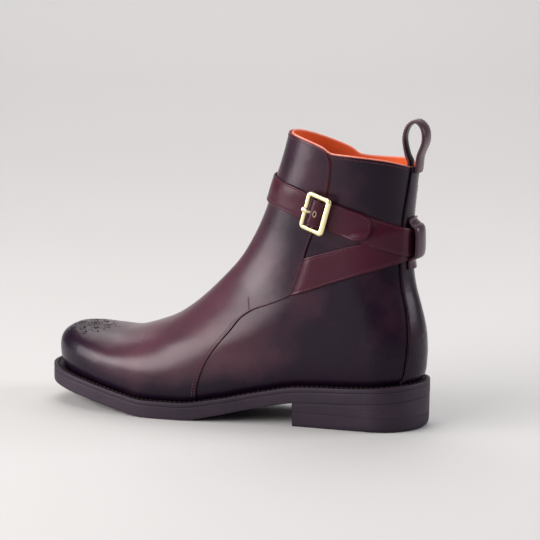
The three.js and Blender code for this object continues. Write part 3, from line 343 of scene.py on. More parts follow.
WIDEST_AT_TOE = float(welt_top(SOLE_LENGTH * 0.981)) + WIDEST_RISE
front_rows = np.array(FRONT_PROFILE, float)
front_line = spline_line(np.stack([
    front_rows[:, 0] * SOLE_LENGTH
    + (SOLE_LENGTH * 0.019 - TOE_REACH) * (1 - np.minimum(1, front_rows[:, 2] * 4)),
    WIDEST_AT_TOE + front_rows[:, 1] * (TOE_TOP - WIDEST_AT_TOE)
    + front_rows[:, 2] * (COLLAR_FRONT - TOE_TOP),
], axis=1), 960)
back_rows = np.array(BACK_PROFILE, float)
back_line = spline_line(np.stack([
    back_rows[:, 1] * HEEL_WIDTH,
    lerp(HEEL_SEAT, COLLAR_BACK, back_rows[:, 0]),
], axis=1), 640)
FAN_CENTRE = np.array([0.647 * SOLE_LENGTH, 0.79 * COLLAR_FRONT])
SHAFT_DEPTH = 0.71 * COLLAR_WIDTH


def ridge_height(x):
    """Height of the front profile at x."""
    return np.interp(x, front_line[::-1, 0], front_line[::-1, 1])


def front_reach(z):
    """x of the front profile at a height."""
    return np.interp(z, front_line[:, 1], front_line[:, 0])


def back_reach(z):
    """x of the back line at a height."""
    return np.interp(z, back_line[:, 1], back_line[:, 0])


def widest_line(x):
    """Height where the upper is widest."""
    return welt_top(x) + WIDEST_RISE


fan_points = front_line[(front_line[:, 0] <= FAN_CENTRE[0]) & (front_line[:, 1] <= FAN_CENTRE[1])]
fan_angles = np.arctan2(FAN_CENTRE[0] - fan_points[:, 0], FAN_CENTRE[1] - fan_points[:, 1])
fan_reach = np.linalg.norm(fan_points - FAN_CENTRE, axis=1)


def front_rounding(x, z):
    """Rounding of the section towards the front profile. Over the forefoot the depth is measured
    down from the ridge, on the shaft back from its front, and between them along rays from the
    fan's centre, and a superellipse of that depth's share gives the half width."""
    ball = ridge_height(FAN_CENTRE[0]) - widest_line(FAN_CENTRE[0])
    toe_depth = np.maximum(ridge_height(x) - widest_line(x), 0.001)
    toe_power = 1.95 + 0.35 * smoothstep(FAN_CENTRE[0], 0.9 * SOLE_LENGTH, x)
    toe = round_end((ridge_height(x) - z) / toe_depth, toe_power)
    shaft = round_end((front_reach(z) - x) / SHAFT_DEPTH, 2)
    angle = np.arctan2(FAN_CENTRE[0] - x, FAN_CENTRE[1] - z)
    turned = np.clip(angle / (math.pi / 2), 0, 1)
    depth = np.hypot(FAN_CENTRE[0] - x, FAN_CENTRE[1] - z) - np.interp(angle, fan_angles, fan_reach)
    bulge = 0.2 * COLLAR_WIDTH * np.sin(math.pi * turned)
    full = lerp(ball, SHAFT_DEPTH, turned) + bulge
    fan = round_end(depth / full, 1.95 - 0.1 * np.sin(math.pi * turned))
    return np.where(x >= FAN_CENTRE[0], toe, np.where(z >= FAN_CENTRE[1], shaft, fan))


def upper_point(x, z, outer, back):
    """Point of the upper above its widest line: the half width goes from the sole's to the
    shaft's with height, times the rounding of the toe, the heel and the front."""
    low = sole_half(x, outer) - WELT_REACH
    high = shaft_half(z / COLLAR_FRONT) * COLLAR_WIDTH / 2
    width = lerp(low, high, smoothstep(0.255 * COLLAR_FRONT, 0.58 * COLLAR_FRONT, z))
    toe = round_end((front_line[0, 0] - x) / TOE_ROUND, 2.15)
    deep = lerp(HEEL_ROUND * 0.92, 0.64 * COLLAR_WIDTH, smoothstep(0.14, 0.75, z / COLLAR_FRONT))
    half = width * toe * round_end((x - back) / deep, 2) * front_rounding(x, z)
    return np.stack([x + 0 * z, np.where(outer, half, -half) + middle_at(x, z), z + 0 * x], axis=-1)


def widest_point(turn):
    """Point of the widest line, whose x follows half of (1 - cos turn)."""
    back = back_reach(widest_line(0))
    x = back + (front_line[0, 0] - back) * (1 - np.cos(turn)) / 2
    return upper_point(x, widest_line(x), np.sin(turn) >= 0, back)


def foot_point(turn, rise):
    """Point between the welt and the widest line: a quarter circle, drawn in at the foot."""
    ahead = widest_point(turn + 0.01) - widest_point(turn - 0.01)
    ahead[..., 2] = 0
    ahead = unit(ahead)
    inset = FEATHER_INSET * (1 - np.sqrt(1 - (1 - rise) ** 2))
    point = widest_point(turn)
    point[..., 0] += ahead[..., 1] * inset
    point[..., 1] -= ahead[..., 0] * inset
    point[..., 2] = welt_top(point[..., 0]) + lerp(SEAT_GAP, WIDEST_RISE, rise)
    return point


def shaft_point(turn, z):
    """Point of the upper at a height, turned round from the back."""
    turn, z = np.broadcast_arrays(np.asarray(turn, float), np.asarray(z, float))
    back = back_reach(z)
    x = back + (front_reach(z) - back) * (1 - np.cos(turn)) / 2
    high = upper_point(x, z, np.sin(turn) >= 0, back)
    widest = widest_point(turn)
    foot = welt_top(widest[..., 0]) + SEAT_GAP
    rise = np.clip((z - foot) / (widest[..., 2] - foot), 0, 1)
    low = foot_point(turn, rise)
    low[..., 2] = z
    return np.where((z < widest[..., 2])[..., None], low, high)


def shaft_frame(turn, z):
    """Point, steps round and up, and outward normal, from differences on both sides."""
    around = (shaft_point(turn + 0.02, z) - shaft_point(turn - 0.02, z)) / 0.04
    up = (shaft_point(turn, z + 1) - shaft_point(turn, z - 1)) / 2
    return shaft_point(turn, z), around, up, unit(np.cross(up, around))


arc_turns = np.linspace(0, 1.9, 96)


def turn_at_arc(arc, z):
    """The turn whose arc from the back line has a given length: the arcs of a fan of turns are
    added up, and the turn is read between them."""
    arc, z = np.broadcast_arrays(np.asarray(arc, float), np.asarray(z, float))
    side = np.where(arc < 0, -1.0, 1.0)
    points = shaft_point(side[..., None] * arc_turns, z[..., None] + 0 * arc_turns)
    steps = np.linalg.norm(np.diff(points, axis=-2), axis=-1)
    start = np.zeros(steps.shape[:-1] + (1,))
    lengths = np.concatenate([start, np.cumsum(steps, axis=-1)], axis=-1)
    reach = np.abs(arc)[..., None]
    i = np.clip(np.sum(lengths < reach, axis=-1) - 1, 0, len(arc_turns) - 2)
    low = np.take_along_axis(lengths, i[..., None], -1)[..., 0]
    high = np.take_along_axis(lengths, i[..., None] + 1, -1)[..., 0]
    share = (np.abs(arc) - low) / (high - low)
    return side * lerp(arc_turns[i], arc_turns[i + 1], share)


def back_point(arc, z, out):
    """A point beside the back line: arc is measured round the shaft and out along its normal."""
    point, _, _, normal = shaft_frame(turn_at_arc(arc, z), z)
    return point + normal * np.expand_dims(np.asarray(out, float) + 0 * np.asarray(z), -1), normal


def walk(points):
    """Length from the first point of a line to each of its points."""
    steps = np.linalg.norm(np.diff(points, axis=0), axis=1)
    return np.concatenate([[0], np.cumsum(steps)])


def resample(lengths, values, at):
    """Rows of values read at other lengths along their line."""
    return np.stack([np.interp(at, lengths, values[:, k]) for k in range(values.shape[1])], axis=1)


front_part = front_line[(front_line[:, 1] <= COLLAR_FRONT) | (front_line[:, 0] > FAN_CENTRE[0])]
front_walk = walk(front_part)
back_part = back_line[(back_line[:, 1] >= widest_line(0)) & (back_line[:, 1] <= COLLAR_BACK)]
back_walk = walk(back_part)


def ring_point(turn, share):
    """Point of the upper from its widest line, at share 0, to the collar's rim, at 1. The ring's
    ends go up the front and the back profile by equal shares of their lengths. Between them its
    height is straight across, plus the sag of the widest line and the shape of the rim."""
    fore, aft = [
        resample(lengths, line, share.ravel() * lengths[-1]).reshape(share.shape + (2,))
        for lengths, line in ((front_walk, front_part), (back_walk, back_part))
    ]
    across = (1 - np.cos(turn)) / 2
    x = lerp(aft[..., 0], fore[..., 0], across)
    sag = widest_line(x) - lerp(widest_line(aft[..., 0]), widest_line(fore[..., 0]), across)
    medial = np.where(np.sin(turn) < 0, MEDIAL_DROP * np.sin(turn) ** 2, 0)
    rim = (COLLAR_FRONT - COLLAR_BACK) * (rim_rise(across) - across) - medial
    line = lerp(aft[..., 1], fore[..., 1], across) + sag * (1 - share) ** 6 + rim * share ** 4
    below = 0.35 * (fore[..., 0] - x)
    height = soft_least(line, ridge_height(x) - below, 0.5 * below)
    back = back_reach(height) + aft[..., 0] - back_reach(aft[..., 1])
    return upper_point(x, height, np.sin(turn) >= 0, back)


def upper_rows(rows):
    """Row values of the upper's grid: below 0 the foot's quarter circle, above it the rings, which
    are closer together near the foot."""
    foot = -np.cos(np.linspace(0, math.pi / 2, 10))[:-1]
    return np.concatenate([foot, np.linspace(0, 1, rows) ** 1.35])


def upper_grid(turn, rows):
    """Points of the upper on a grid of rows and turns."""
    level = rows[:, None] + 0 * turn
    foot = foot_point(turn, np.clip(1 + level, 0, 1))
    return np.where((level < 0)[..., None], foot, ring_point(turn, np.clip(level, 0, 1)))


vamp_line = spline_line([(a * SOLE_LENGTH, u * COLLAR_FRONT) for a, u in VAMP_EDGE], 400)


def vamp_edge_x(z):
    """x of the vamp's rear edge at a height."""
    return np.interp(z, vamp_line[::-1, 1], vamp_line[::-1, 0])


def place(points):
    """Millimetres of the tables to metres of the frame."""
    return (points - BOX_MIDDLE) / 1000


def edit_mesh(mesh, change):
    """Runs a function on the mesh's editable form and writes it back."""
    work = bmesh.new()
    work.from_mesh(mesh)
    change(work)
    work.to_mesh(mesh)
    work.free()


def mesh_object(name, vertices, faces, materials, burnish=None, index=None, weld=True):
    """An object from points in millimetres and faces. Its point values say how far burnishing and
    painted shade darken each point, index the material of each face, and weld joins points closer
    than a hundredth of a millimetre."""
    mesh = bpy.data.meshes.new(name)
    mesh.from_pydata(place(np.asarray(vertices)).tolist(), [], [tuple(f) for f in faces])
    if burnish is not None:
        # the attribute carries burnishing and painted shade for the material
        layer = mesh.attributes.new("burnish", "FLOAT", "POINT")
        layer.data.foreach_set("value", np.asarray(burnish, np.float32).ravel())
    for material in materials:
        mesh.materials.append(material)
    if index is not None:
        mesh.polygons.foreach_set("material_index", np.asarray(index, np.int32))
    if weld:
        edit_mesh(mesh, lambda work: bmesh.ops.remove_doubles(work, verts=work.verts, dist=1e-5))
    mesh.polygons.foreach_set("use_smooth", np.ones(len(mesh.polygons), bool))
    mesh.update()
    made = bpy.data.objects.new(name, mesh)
    bpy.context.scene.collection.objects.link(made)
    return made


def outward(made):
    """Turns a closed piece's faces outwards."""
    edit_mesh(made.data, lambda work: bmesh.ops.recalc_face_normals(work, faces=work.faces))
    return made


def grid_faces(rows, columns, close_rows=False, close_columns=False):
    """Quads of a grid whose points are numbered along the rows. A closed direction joins its last
    line to its first."""
    i = np.arange(rows if close_rows else rows - 1)
    j = np.arange(columns if close_columns else columns - 1)
    i, j = [part.ravel() for part in np.meshgrid(i, j, indexing="ij")]
    a = i * columns + j
    b = i * columns + (j + 1) % columns
    c = ((i + 1) % rows) * columns + (j + 1) % columns
    d = ((i + 1) % rows) * columns + j
    return np.stack([a, b, c, d], axis=1)


def sharp_edges(made, degrees):
    """Shades the edges sharper than an angle as edges."""
    limit = math.radians(degrees)

    def mark(work):
        for edge in work.edges:
            if len(edge.link_faces) == 2 and edge.calc_face_angle(0) > limit:
                edge.smooth = False
    edit_mesh(made.data, mark)
    return made


def finish_piece(made, nodes):
    """Puts a piece on the body and, where nodes are given, in their place."""
    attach(made, "root")
    if nodes:
        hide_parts(*nodes)
    return made


# Sockets, groups and materials
def feed(tree, node, inputs):
    """Links or sets inputs of a node."""
    for key, value in inputs.items():
        if isinstance(value, bpy.types.NodeSocket):
            tree.links.new(value, node.inputs[key])
        else:
            node.inputs[key].default_value = value


def linked(tree, kind, inputs, **settings):
    """A node with its settings, its inputs linked or set."""
    node = tree.nodes.new(kind)
    for key, value in settings.items():
        setattr(node, key, value)
    feed(tree, node, inputs)
    return node


def maths(tree, operation, *values):
    """Output of a sum, product or other operation on values or sockets."""
    return linked(tree, "ShaderNodeMath", dict(enumerate(values)), operation=operation).outputs[0]


def mixed(tree, share, a, b):
    """Colour mixed from a to b by a share."""
    return linked(tree, "ShaderNodeMix", {0: share, 6: a, 7: b}, data_type="RGBA").outputs[2]


def object_point(tree):
    """Coordinates on the object itself."""
    return tree.nodes.new("ShaderNodeTexCoord").outputs["Object"]


def noise(tree, where, scale, detail=2.0, roughness=0.5):
    """Soft random values of a size."""
    return linked(tree, "ShaderNodeTexNoise", {
        "Vector": where, "Scale": scale, "Detail": detail, "Roughness": roughness,
    }).outputs["Fac"]


def bumped(tree, height, strength, distance, **under):
    """Normal of a surface raised by a height, over another normal where one is given."""
    inputs = {"Height": height, "Strength": strength, "Distance": distance, **under}
    return linked(tree, "ShaderNodeBump", inputs).outputs["Normal"]


def new_group(name, inputs, outputs):
    """An empty shader group with float or colour sockets."""
    group = bpy.data.node_groups.new(name, "ShaderNodeTree")
    for label, kind, value in inputs:
        socket = group.interface.new_socket(label, in_out="INPUT", socket_type=kind)
        socket.default_value = value
    for label, kind in outputs:
        group.interface.new_socket(label, in_out="OUTPUT", socket_type=kind)
    return group, group.nodes.new("NodeGroupInput"), group.nodes.new("NodeGroupOutput")


def grain_group():
    """Smooth calf leather: fine pores and faint creases in height, cloudy dye, uneven polish."""
    group, source, sink = new_group("fine_leather_grain", [
        ("Pore size", "NodeSocketFloat", 900.0),
        ("Pore depth", "NodeSocketFloat", 0.3),
        ("Cloud size", "NodeSocketFloat", 22.0),
    ], [
        ("Height", "NodeSocketFloat"),
        ("Cloud", "NodeSocketFloat"),
        ("Polish", "NodeSocketFloat"),
    ])
    where = object_point(group)
    pores = linked(group, "ShaderNodeTexVoronoi", {
        "Vector": where, "Scale": source.outputs["Pore size"],
    }, feature="F1").outputs["Distance"]
    depth = maths(group, "MULTIPLY", pores, source.outputs["Pore depth"])
    folds = maths(group, "MULTIPLY", noise(group, where, 260.0, 5.0, 0.6), 0.7)
    group.links.new(maths(group, "ADD", depth, folds), sink.inputs["Height"])
    soft = linked(group, "ShaderNodeMapRange", {
        "Value": noise(group, where, source.outputs["Cloud size"], 4.0, 0.55),
        "From Min": 0.3, "From Max": 0.7,
    }).outputs["Result"]
    group.links.new(soft, sink.inputs["Cloud"])
    streak = maths(group, "MULTIPLY", noise(group, where, 70.0, 6.0, 0.65), 0.6)
    polish = maths(group, "ADD", streak, maths(group, "MULTIPLY", soft, 0.4))
    group.links.new(polish, sink.inputs["Polish"])
    return group


def layer_group():
    """Stacked leather edge: thin level lines with wax over them."""
    group, source, sink = new_group("stacked_edge", [
        ("Lines", "NodeSocketFloat", 420.0),
        ("Strength", "NodeSocketFloat", 0.5),
    ], [("Height", "NodeSocketFloat"), ("Dark", "NodeSocketFloat")])
    where = object_point(group)
    level = linked(group, "ShaderNodeSeparateXYZ", {"Vector": where}).outputs["Z"]
    bent = maths(group, "ADD", level, maths(group, "MULTIPLY", noise(group, where, 45.0, 3.0), 0.0006))
    turns = maths(group, "MULTIPLY", source.outputs["Lines"], 6.2832)
    wave = maths(group, "SINE", maths(group, "MULTIPLY", bent, turns))
    lines = maths(group, "MULTIPLY", maths(group, "ADD", wave, 1.0), 0.5)
    lines = maths(group, "POWER", lines, 4.0)
    for label, value in (("Height", lines), ("Dark", noise(group, where, 300.0, 4.0))):
        strong = maths(group, "MULTIPLY", value, source.outputs["Strength"])
        group.links.new(strong, sink.inputs[label])
    return group


def shared_group(name, make):
    """The shader group of that name, made once."""
    return bpy.data.node_groups.get(name) or make()


def rgba(colour):
    """A colour with full cover."""
    return (colour[0], colour[1], colour[2], 1.0)


def shade(colour, share):
    """A share of a colour."""
    return [part * share for part in colour]


def new_material(name):
    """A material with its tree and its shader."""
    material = bpy.data.materials.new(name)
    material.use_nodes = True
    return material, material.node_tree, material.node_tree.nodes["Principled BSDF"]


def leather_grain(tree):
    """The leather's grain as a group in a material."""
    group = shared_group("fine_leather_grain", grain_group)
    return linked(tree, "ShaderNodeGroup", {}, node_tree=group).outputs


def leather_material(name, light, dark, roughness, coat, bump=0.05, burnish=False):
    """Leather with grain, cloudy dye between two colours and a polished surface. Where asked, the
    piece's own attribute also darkens it, as burnishing and as painted shade, and polishes it."""
    material, tree, shader = new_material(name)
    grain = leather_grain(tree)
    share = maths(tree, "MULTIPLY", grain["Cloud"], 0.55)
    dulling = 0.12
    rough = maths(tree, "MULTIPLY", grain["Polish"], dulling)
    rough = maths(tree, "ADD", roughness - dulling / 2, rough)
    shine = coat
    if burnish:
        # the attribute mixes in the dark colour as burnishing and as painted shade
        rub = linked(tree, "ShaderNodeAttribute", {}, attribute_name="burnish").outputs["Fac"]
        share = maths(tree, "MINIMUM", maths(tree, "ADD", share, rub), 1.0)
        rough = maths(tree, "SUBTRACT", rough, maths(tree, "MULTIPLY", rub, 0.03))
        shine = maths(tree, "MULTIPLY", maths(tree, "SUBTRACT", 1.0, rub), coat)
    swell = bumped(tree, grain["Cloud"], 0.25, 0.002)
    feed(tree, shader, {
        "Base Color": mixed(tree, share, rgba(light), rgba(dark)),
        "Roughness": rough,
        "Normal": bumped(tree, grain["Height"], bump, 0.0004, Normal=swell),
        "Specular IOR Level": 0.16 if burnish else 0.12,
        "Specular Tint": (1.0, 0.87, 0.94, 1.0),
        "Coat Weight": shine,
        "Coat Roughness": 0.3,
        "Coat Tint": (1.0, 0.96, 0.97, 1.0),
    })
    return material


def edge_material(name, colour, dark, roughness, lines, strength):
    """Trimmed, dyed and waxed edge of leather or rubber layers."""
    material, tree, shader = new_material(name)
    group = shared_group("stacked_edge", layer_group)
    stack = linked(tree, "ShaderNodeGroup", {}, node_tree=group)
    feed(tree, stack, {"Lines": lines, "Strength": strength})
    grain = leather_grain(tree)
    share = maths(tree, "MULTIPLY", grain["Cloud"], 0.6)
    share = maths(tree, "MINIMUM", maths(tree, "ADD", share, stack.outputs["Dark"]), 1.0)
    height = maths(tree, "MULTIPLY", grain["Height"], 0.4)
    height = maths(tree, "ADD", stack.outputs["Height"], height)
    feed(tree, shader, {
        "Base Color": mixed(tree, share, rgba(colour), rgba(dark)),
        "Roughness": maths(tree, "ADD", roughness, maths(tree, "MULTIPLY", grain["Polish"], 0.2)),
        "Normal": bumped(tree, height, 0.25, 0.0004),
        "Specular IOR Level": 0.25,
    })
    return material


def thread_material(name, colour):
    """Waxed thread: fine twist across the stitch and a dull shine."""
    material, tree, shader = new_material(name)
    twist = noise(tree, object_point(tree), 2200.0)
    feed(tree, shader, {
        "Base Color": mixed(tree, twist, rgba(colour), rgba(shade(colour, 0.45))),
        "Normal": bumped(tree, twist, 0.4, 0.0002),
        "Roughness": 0.6,
        "Specular IOR Level": 0.2,
    })
    return material


def metal_material(name, colour, rubbed):
    """Polished brass with faint scratches and slightly dulled patches."""
    material, tree, shader = new_material(name)
    where = object_point(tree)
    patches = noise(tree, where, 180.0, 5.0)
    feed(tree, shader, {
        "Base Color": mixed(tree, patches, rgba(colour), rgba(rubbed)),
        "Roughness": maths(tree, "ADD", 0.22, maths(tree, "MULTIPLY", patches, 0.16)),
        "Normal": bumped(tree, noise(tree, where, 1500.0, 3.0), 0.05, 0.0002),
        "Metallic": 1.0,
    })
    return material


class LeatherSettings(bpy.types.PropertyGroup):
    upper_colour: FloatVectorProperty(
        name="Upper", description="Dye of the upper where it is lightest", subtype="COLOR",
        size=3, min=0, max=1, default=(0.084, 0.031, 0.045))
    # The dark colour: burnishing at the toe and heel, and painted shade along the welt and the rear quarter
    burnish_and_shade_colour: FloatVectorProperty(
        name="Burnish", description="Dye of the upper at the toe, heel and welt", subtype="COLOR",
        size=3, min=0, max=1, default=(0.0085, 0.0035, 0.0105))
    strap_colour: FloatVectorProperty(
        name="Straps", description="Dye of the straps and the pull loop", subtype="COLOR",
        size=3, min=0, max=1, default=(0.046, 0.0042, 0.015))
    lining_colour: FloatVectorProperty(
        name="Lining", description="Leather of the lining and the insole", subtype="COLOR",
        size=3, min=0, max=1, default=(0.86, 0.15, 0.04))
    sole_colour: FloatVectorProperty(
        name="Sole", description="Dye of the welt, the sole and the heel", subtype="COLOR",
        size=3, min=0, max=1, default=(0.034, 0.02, 0.035))
    edge_colour: FloatVectorProperty(
        name="Edges", description="Cut edge of the flap and the collar", subtype="COLOR",
        size=3, min=0, max=1, default=(0.3, 0.05, 0.03))
    thread_colour: FloatVectorProperty(
        name="Thread", description="Sewing thread of the upper", subtype="COLOR",
        size=3, min=0, max=1, default=(0.17, 0.05, 0.06))


class SewingSettings(bpy.types.PropertyGroup):
    stitch_length: FloatProperty(
        name="Stitch", description="Length of one stitch of the upper", unit="LENGTH",
        default=0.0023, min=0.001, max=0.006, precision=4)
    thread_width: FloatProperty(
        name="Thread", description="Width of the thread", unit="LENGTH",
        default=0.00055, min=0.0002, max=0.002, precision=4)
    edge_inset: FloatProperty(
        name="Inset", description="From an edge of the leather to its stitches", unit="LENGTH",
        default=0.0017, min=0.0005, max=0.005, precision=4)
    welt_stitch: FloatProperty(
        name="Welt stitch", description="Length of one stitch of the welt", unit="LENGTH",
        default=0.0038, min=0.001, max=0.008, precision=4)


class BrassSettings(bpy.types.PropertyGroup):
    brass_colour: FloatVectorProperty(
        name="Brass", description="Colour of the buckle", subtype="COLOR",
        size=3, min=0, max=1, default=(0.93, 0.82, 0.5))
    rubbed_colour: FloatVectorProperty(
        name="Rubbed", description="Colour of the buckle where it is dull", subtype="COLOR",
        size=3, min=0, max=1, default=(0.84, 0.7, 0.38))


class StageSettings(bpy.types.PropertyGroup):
    view_turn: FloatProperty(
        name="Turn", description="Turn of the camera round the boot from straight ahead",
        subtype="ANGLE", default=math.radians(202.3))
    view_height: FloatProperty(
        name="Height", description="Angle of the camera above the floor",
        subtype="ANGLE", default=math.radians(10.28))
    distance: FloatProperty(
        name="Distance", description="From the camera to the boot", unit="LENGTH",
        default=2.1, min=0.5, max=10)
    floor_colour: FloatVectorProperty(
        name="Floor", description="Colour of the floor and the backdrop", subtype="COLOR",
        size=3, min=0, max=1, default=(0.56, 0.552, 0.541))
    key_power: FloatProperty(
        name="Key light", description="Power of the main light", default=21.0, min=0, max=500)


def leathers():
    """The dyes of the scene."""
    return bpy.context.scene.boot_leathers


def sewing():
    """The stitch sizes of the scene."""
    return bpy.context.scene.boot_sewing


def named_material(name, make, *values, **more):
    """The material of that name, made once."""
    return bpy.data.materials.get(name) or make(name, *values, **more)


def leather(name, light, dark, roughness, coat=0.0, **more):
    """A leather by name, made once."""
    return named_material(name, leather_material, light, dark, roughness, coat, **more)


def upper_leather():
    """Burnished calf of the upper, pull loop and keeper, with painted shade from its attribute."""
    dyes = leathers()
    return leather("burnished_calf", dyes.upper_colour, dyes.burnish_and_shade_colour, 0.3, 0.5, burnish=True)


def cut_edge():
    """Cut edge of the flap and the collar."""
    dyes = leathers()
    return leather("cut_leather_edge", dyes.edge_colour, dyes.strap_colour, 0.6, bump=0.1)


def shaded_strap_edge():
    """Dyed edge of the straps, dark partly from its dye and partly as painted shade round them."""
    dyes = leathers()
    return leather("dyed_strap_edge", shade(dyes.strap_colour, 0.9), dyes.burnish_and_shade_colour, 0.5, bump=0.1)


def painted_shade_leather():
    """Nearly black leather as painted shade at the bottom of seams and holes."""
    dark = shade(leathers().burnish_and_shade_colour, 0.5)
    return leather("black_dye", dark, dark, 0.5, bump=0.1)


def lining_leather():
    """Leather of the lining and the insole."""
    tan = leathers().lining_colour
    return leather("tan_lining", tan, shade(tan, 0.55), 0.55, bump=0.08)


def lining_edge_with_highlight():
    """Cut edge of the lining, painted pale: the raw edge's colour and a painted highlight on the rim's top."""
    tan = leathers().lining_colour
    pale = [lerp(part, 0.9, 0.3) for part in tan]
    return leather("cut_lining_edge", pale, tan, 0.7, bump=0.1)


def strap_leather():
    """Oxblood leather of the straps."""
    dye = leathers().strap_colour
    return leather("oxblood_strap", dye, shade(dye, 0.4), 0.34, 0.3, bump=0.06)


def sole_edge_finish():
    """Waxed edge of the welt and the heel lifts."""
    dye = leathers().sole_colour
    return named_material("waxed_sole_edge", edge_material, dye, shade(dye, 0.4), 0.42, 350.0, 0.25)


def rubber_finish():
    """Black rubber of the sole."""
    dye = leathers().sole_colour
    return named_material("black_rubber", edge_material, shade(dye, 0.8), shade(dye, 0.5),
                          0.55, 120.0, 0.1)


def thread(name="upper_thread", share=1.0):
    """Thread whose colour is a share of the sewing thread's."""
    return named_material(name, thread_material, shade(leathers().thread_colour, share))


def stitch_row(points, normals, length, width, height):
    """Vertices and faces of stitches along a line. Each is a low bead: at share t of its length
    its half width and rise are the root of sin(pi t), and its centre dips under the leather at
    both ends. A gap of skip of the stitch's length is left between two."""
    skip = 0.22
    lengths = walk(points)
    count = max(1, int(lengths[-1] / length))
    starts = (np.arange(count) + skip / 2) * lengths[-1] / count
    pitch = lengths[-1] / count
    t = np.linspace(0, 1, BEAD_RINGS)
    at = starts[:, None] + t * pitch * (1 - skip)
    centre = resample(lengths, points, at.ravel()).reshape(count, BEAD_RINGS, 3)
    normal = unit(resample(lengths, normals, at.ravel()).reshape(count, BEAD_RINGS, 3))
    ahead = unit(centre[:, -1:] - centre[:, :1]) + 0 * centre
    across = unit(np.cross(ahead, normal))
    swell = np.sqrt(np.sin(math.pi * np.clip(t, 0.04, 0.96)))
    centre = centre + normal * (np.sin(math.pi * t) * height - 0.35 * height)[None, :, None]
    angle = circle_turns(BEAD_SIDES)
    ring = (across[:, :, None] * np.cos(angle)[:, None] * width / 2
            + normal[:, :, None] * np.sin(angle)[:, None] * height)
    vertices = centre[:, :, None] + ring * swell[None, :, None, None]
    bead = BEAD_RINGS * BEAD_SIDES
    one = grid_faces(BEAD_RINGS, BEAD_SIDES, close_columns=True)
    faces = (np.arange(count)[:, None, None] * bead + one[None]).reshape(-1, 4)
    caps = [list(range(bead * i, bead * i + BEAD_SIDES))[::-1] for i in range(count)]
    caps += [list(range(bead * (i + 1) - BEAD_SIDES, bead * (i + 1))) for i in range(count)]
    return vertices.reshape(-1, 3), faces.tolist() + caps


def stitches(name, rows, material, length=None, width=None, height=None):
    """One object of all the stitches along several lines of (points, normals)."""
    length = length or sewing().stitch_length * 1000
    width = width or sewing().thread_width * 1000
    height = height or width * 0.42
    vertices, faces, shift = [], [], 0
    for points, normals in rows:
        v, f = stitch_row(points, normals, length, width, height)
        vertices.append(v)
        faces += [[k + shift for k in face] for face in f]
        shift += len(v)
    made = mesh_object(name, np.concatenate(vertices), faces, [material], weld=False)
    return finish_piece(outward(made), ())


def grid_normals(turn, rows):
    """Outward normals of the upper's grid, from differences along both of its directions."""
    step = 0.004 + 0.07 * (1 - smoothstep(0, 0.12, np.abs(rows)))
    high = np.clip(rows + step, -1, 1)
    low = np.clip(rows - step, -1, 1)
    up = upper_grid(turn, high) - upper_grid(turn, low)
    around = upper_grid(turn + 0.02, rows) - upper_grid(turn - 0.02, rows)
    normal = np.cross(up, around)
    normal[rows <= -1, :, 2] = 0
    return unit(normal), unit(up)


def edge_turns(rows):
    """For each row, the turn where the vamp's rear edge crosses it, read between fine turns, the
    length on the leather per turn there, and the depth below the rim. The flap's top corner is a
    quarter circle."""
    turn = np.linspace(0, math.pi, 901) + 0 * rows[:, None]
    points = upper_grid(turn, rows)
    ahead = points[..., 0] - vamp_edge_x(points[..., 2])
    i = np.argmax(ahead > 0, axis=1)
    i = np.maximum(i, 1)
    k = np.arange(len(rows))
    share = -ahead[k, i - 1] / (ahead[k, i] - ahead[k, i - 1])
    speed = np.linalg.norm(points[k, i] - points[k, i - 1], axis=1) / (turn[0, 1] - turn[0, 0])
    depth = np.linalg.norm(points[k, i] - points[k[-1:], i[-1:]], axis=1)
    inside = np.maximum(FLAP_CORNER - depth, 0)
    round_off = FLAP_CORNER - np.sqrt(FLAP_CORNER ** 2 - inside ** 2)
    return turn[k, i - 1] + share * (turn[0, 1] - turn[0, 0]) + round_off / speed, speed, depth


def burnish_and_shade_of(points):
    """How dark the polish and the painted shade are: most at the toe and along the welt, less round
    the heel and the collar. At the toe and the heel it is burnishing; along the welt and over the rear
    quarter it is burnishing together with painted shade. The parts are joined as shares that are left over."""
    x, z = points[..., 0], points[..., 2]
    low = z - welt_top(x)
    toe = smoothstep(222, 292, x) * 0.85
    heel = (1 - smoothstep(8, 70, x)) * (1 - smoothstep(50, 130, z)) * 0.45
    # painted shade with burnishing: darker near the welt
    welt = (1 - smoothstep(2, 30, low)) * 0.75
    # painted shade with burnishing: darker over the whole rear quarter
    rear = (1 - smoothstep(70, 170, x)) * 0.7
    return 1 - (1 - toe) * (1 - heel) * (1 - welt) * (1 - rear)


def seated(points):
    """Keeps the upper's lowest row just over the welt."""
    points[0, :, 2] = welt_top(points[0, :, 0]) + WELT_LIFT
    return points


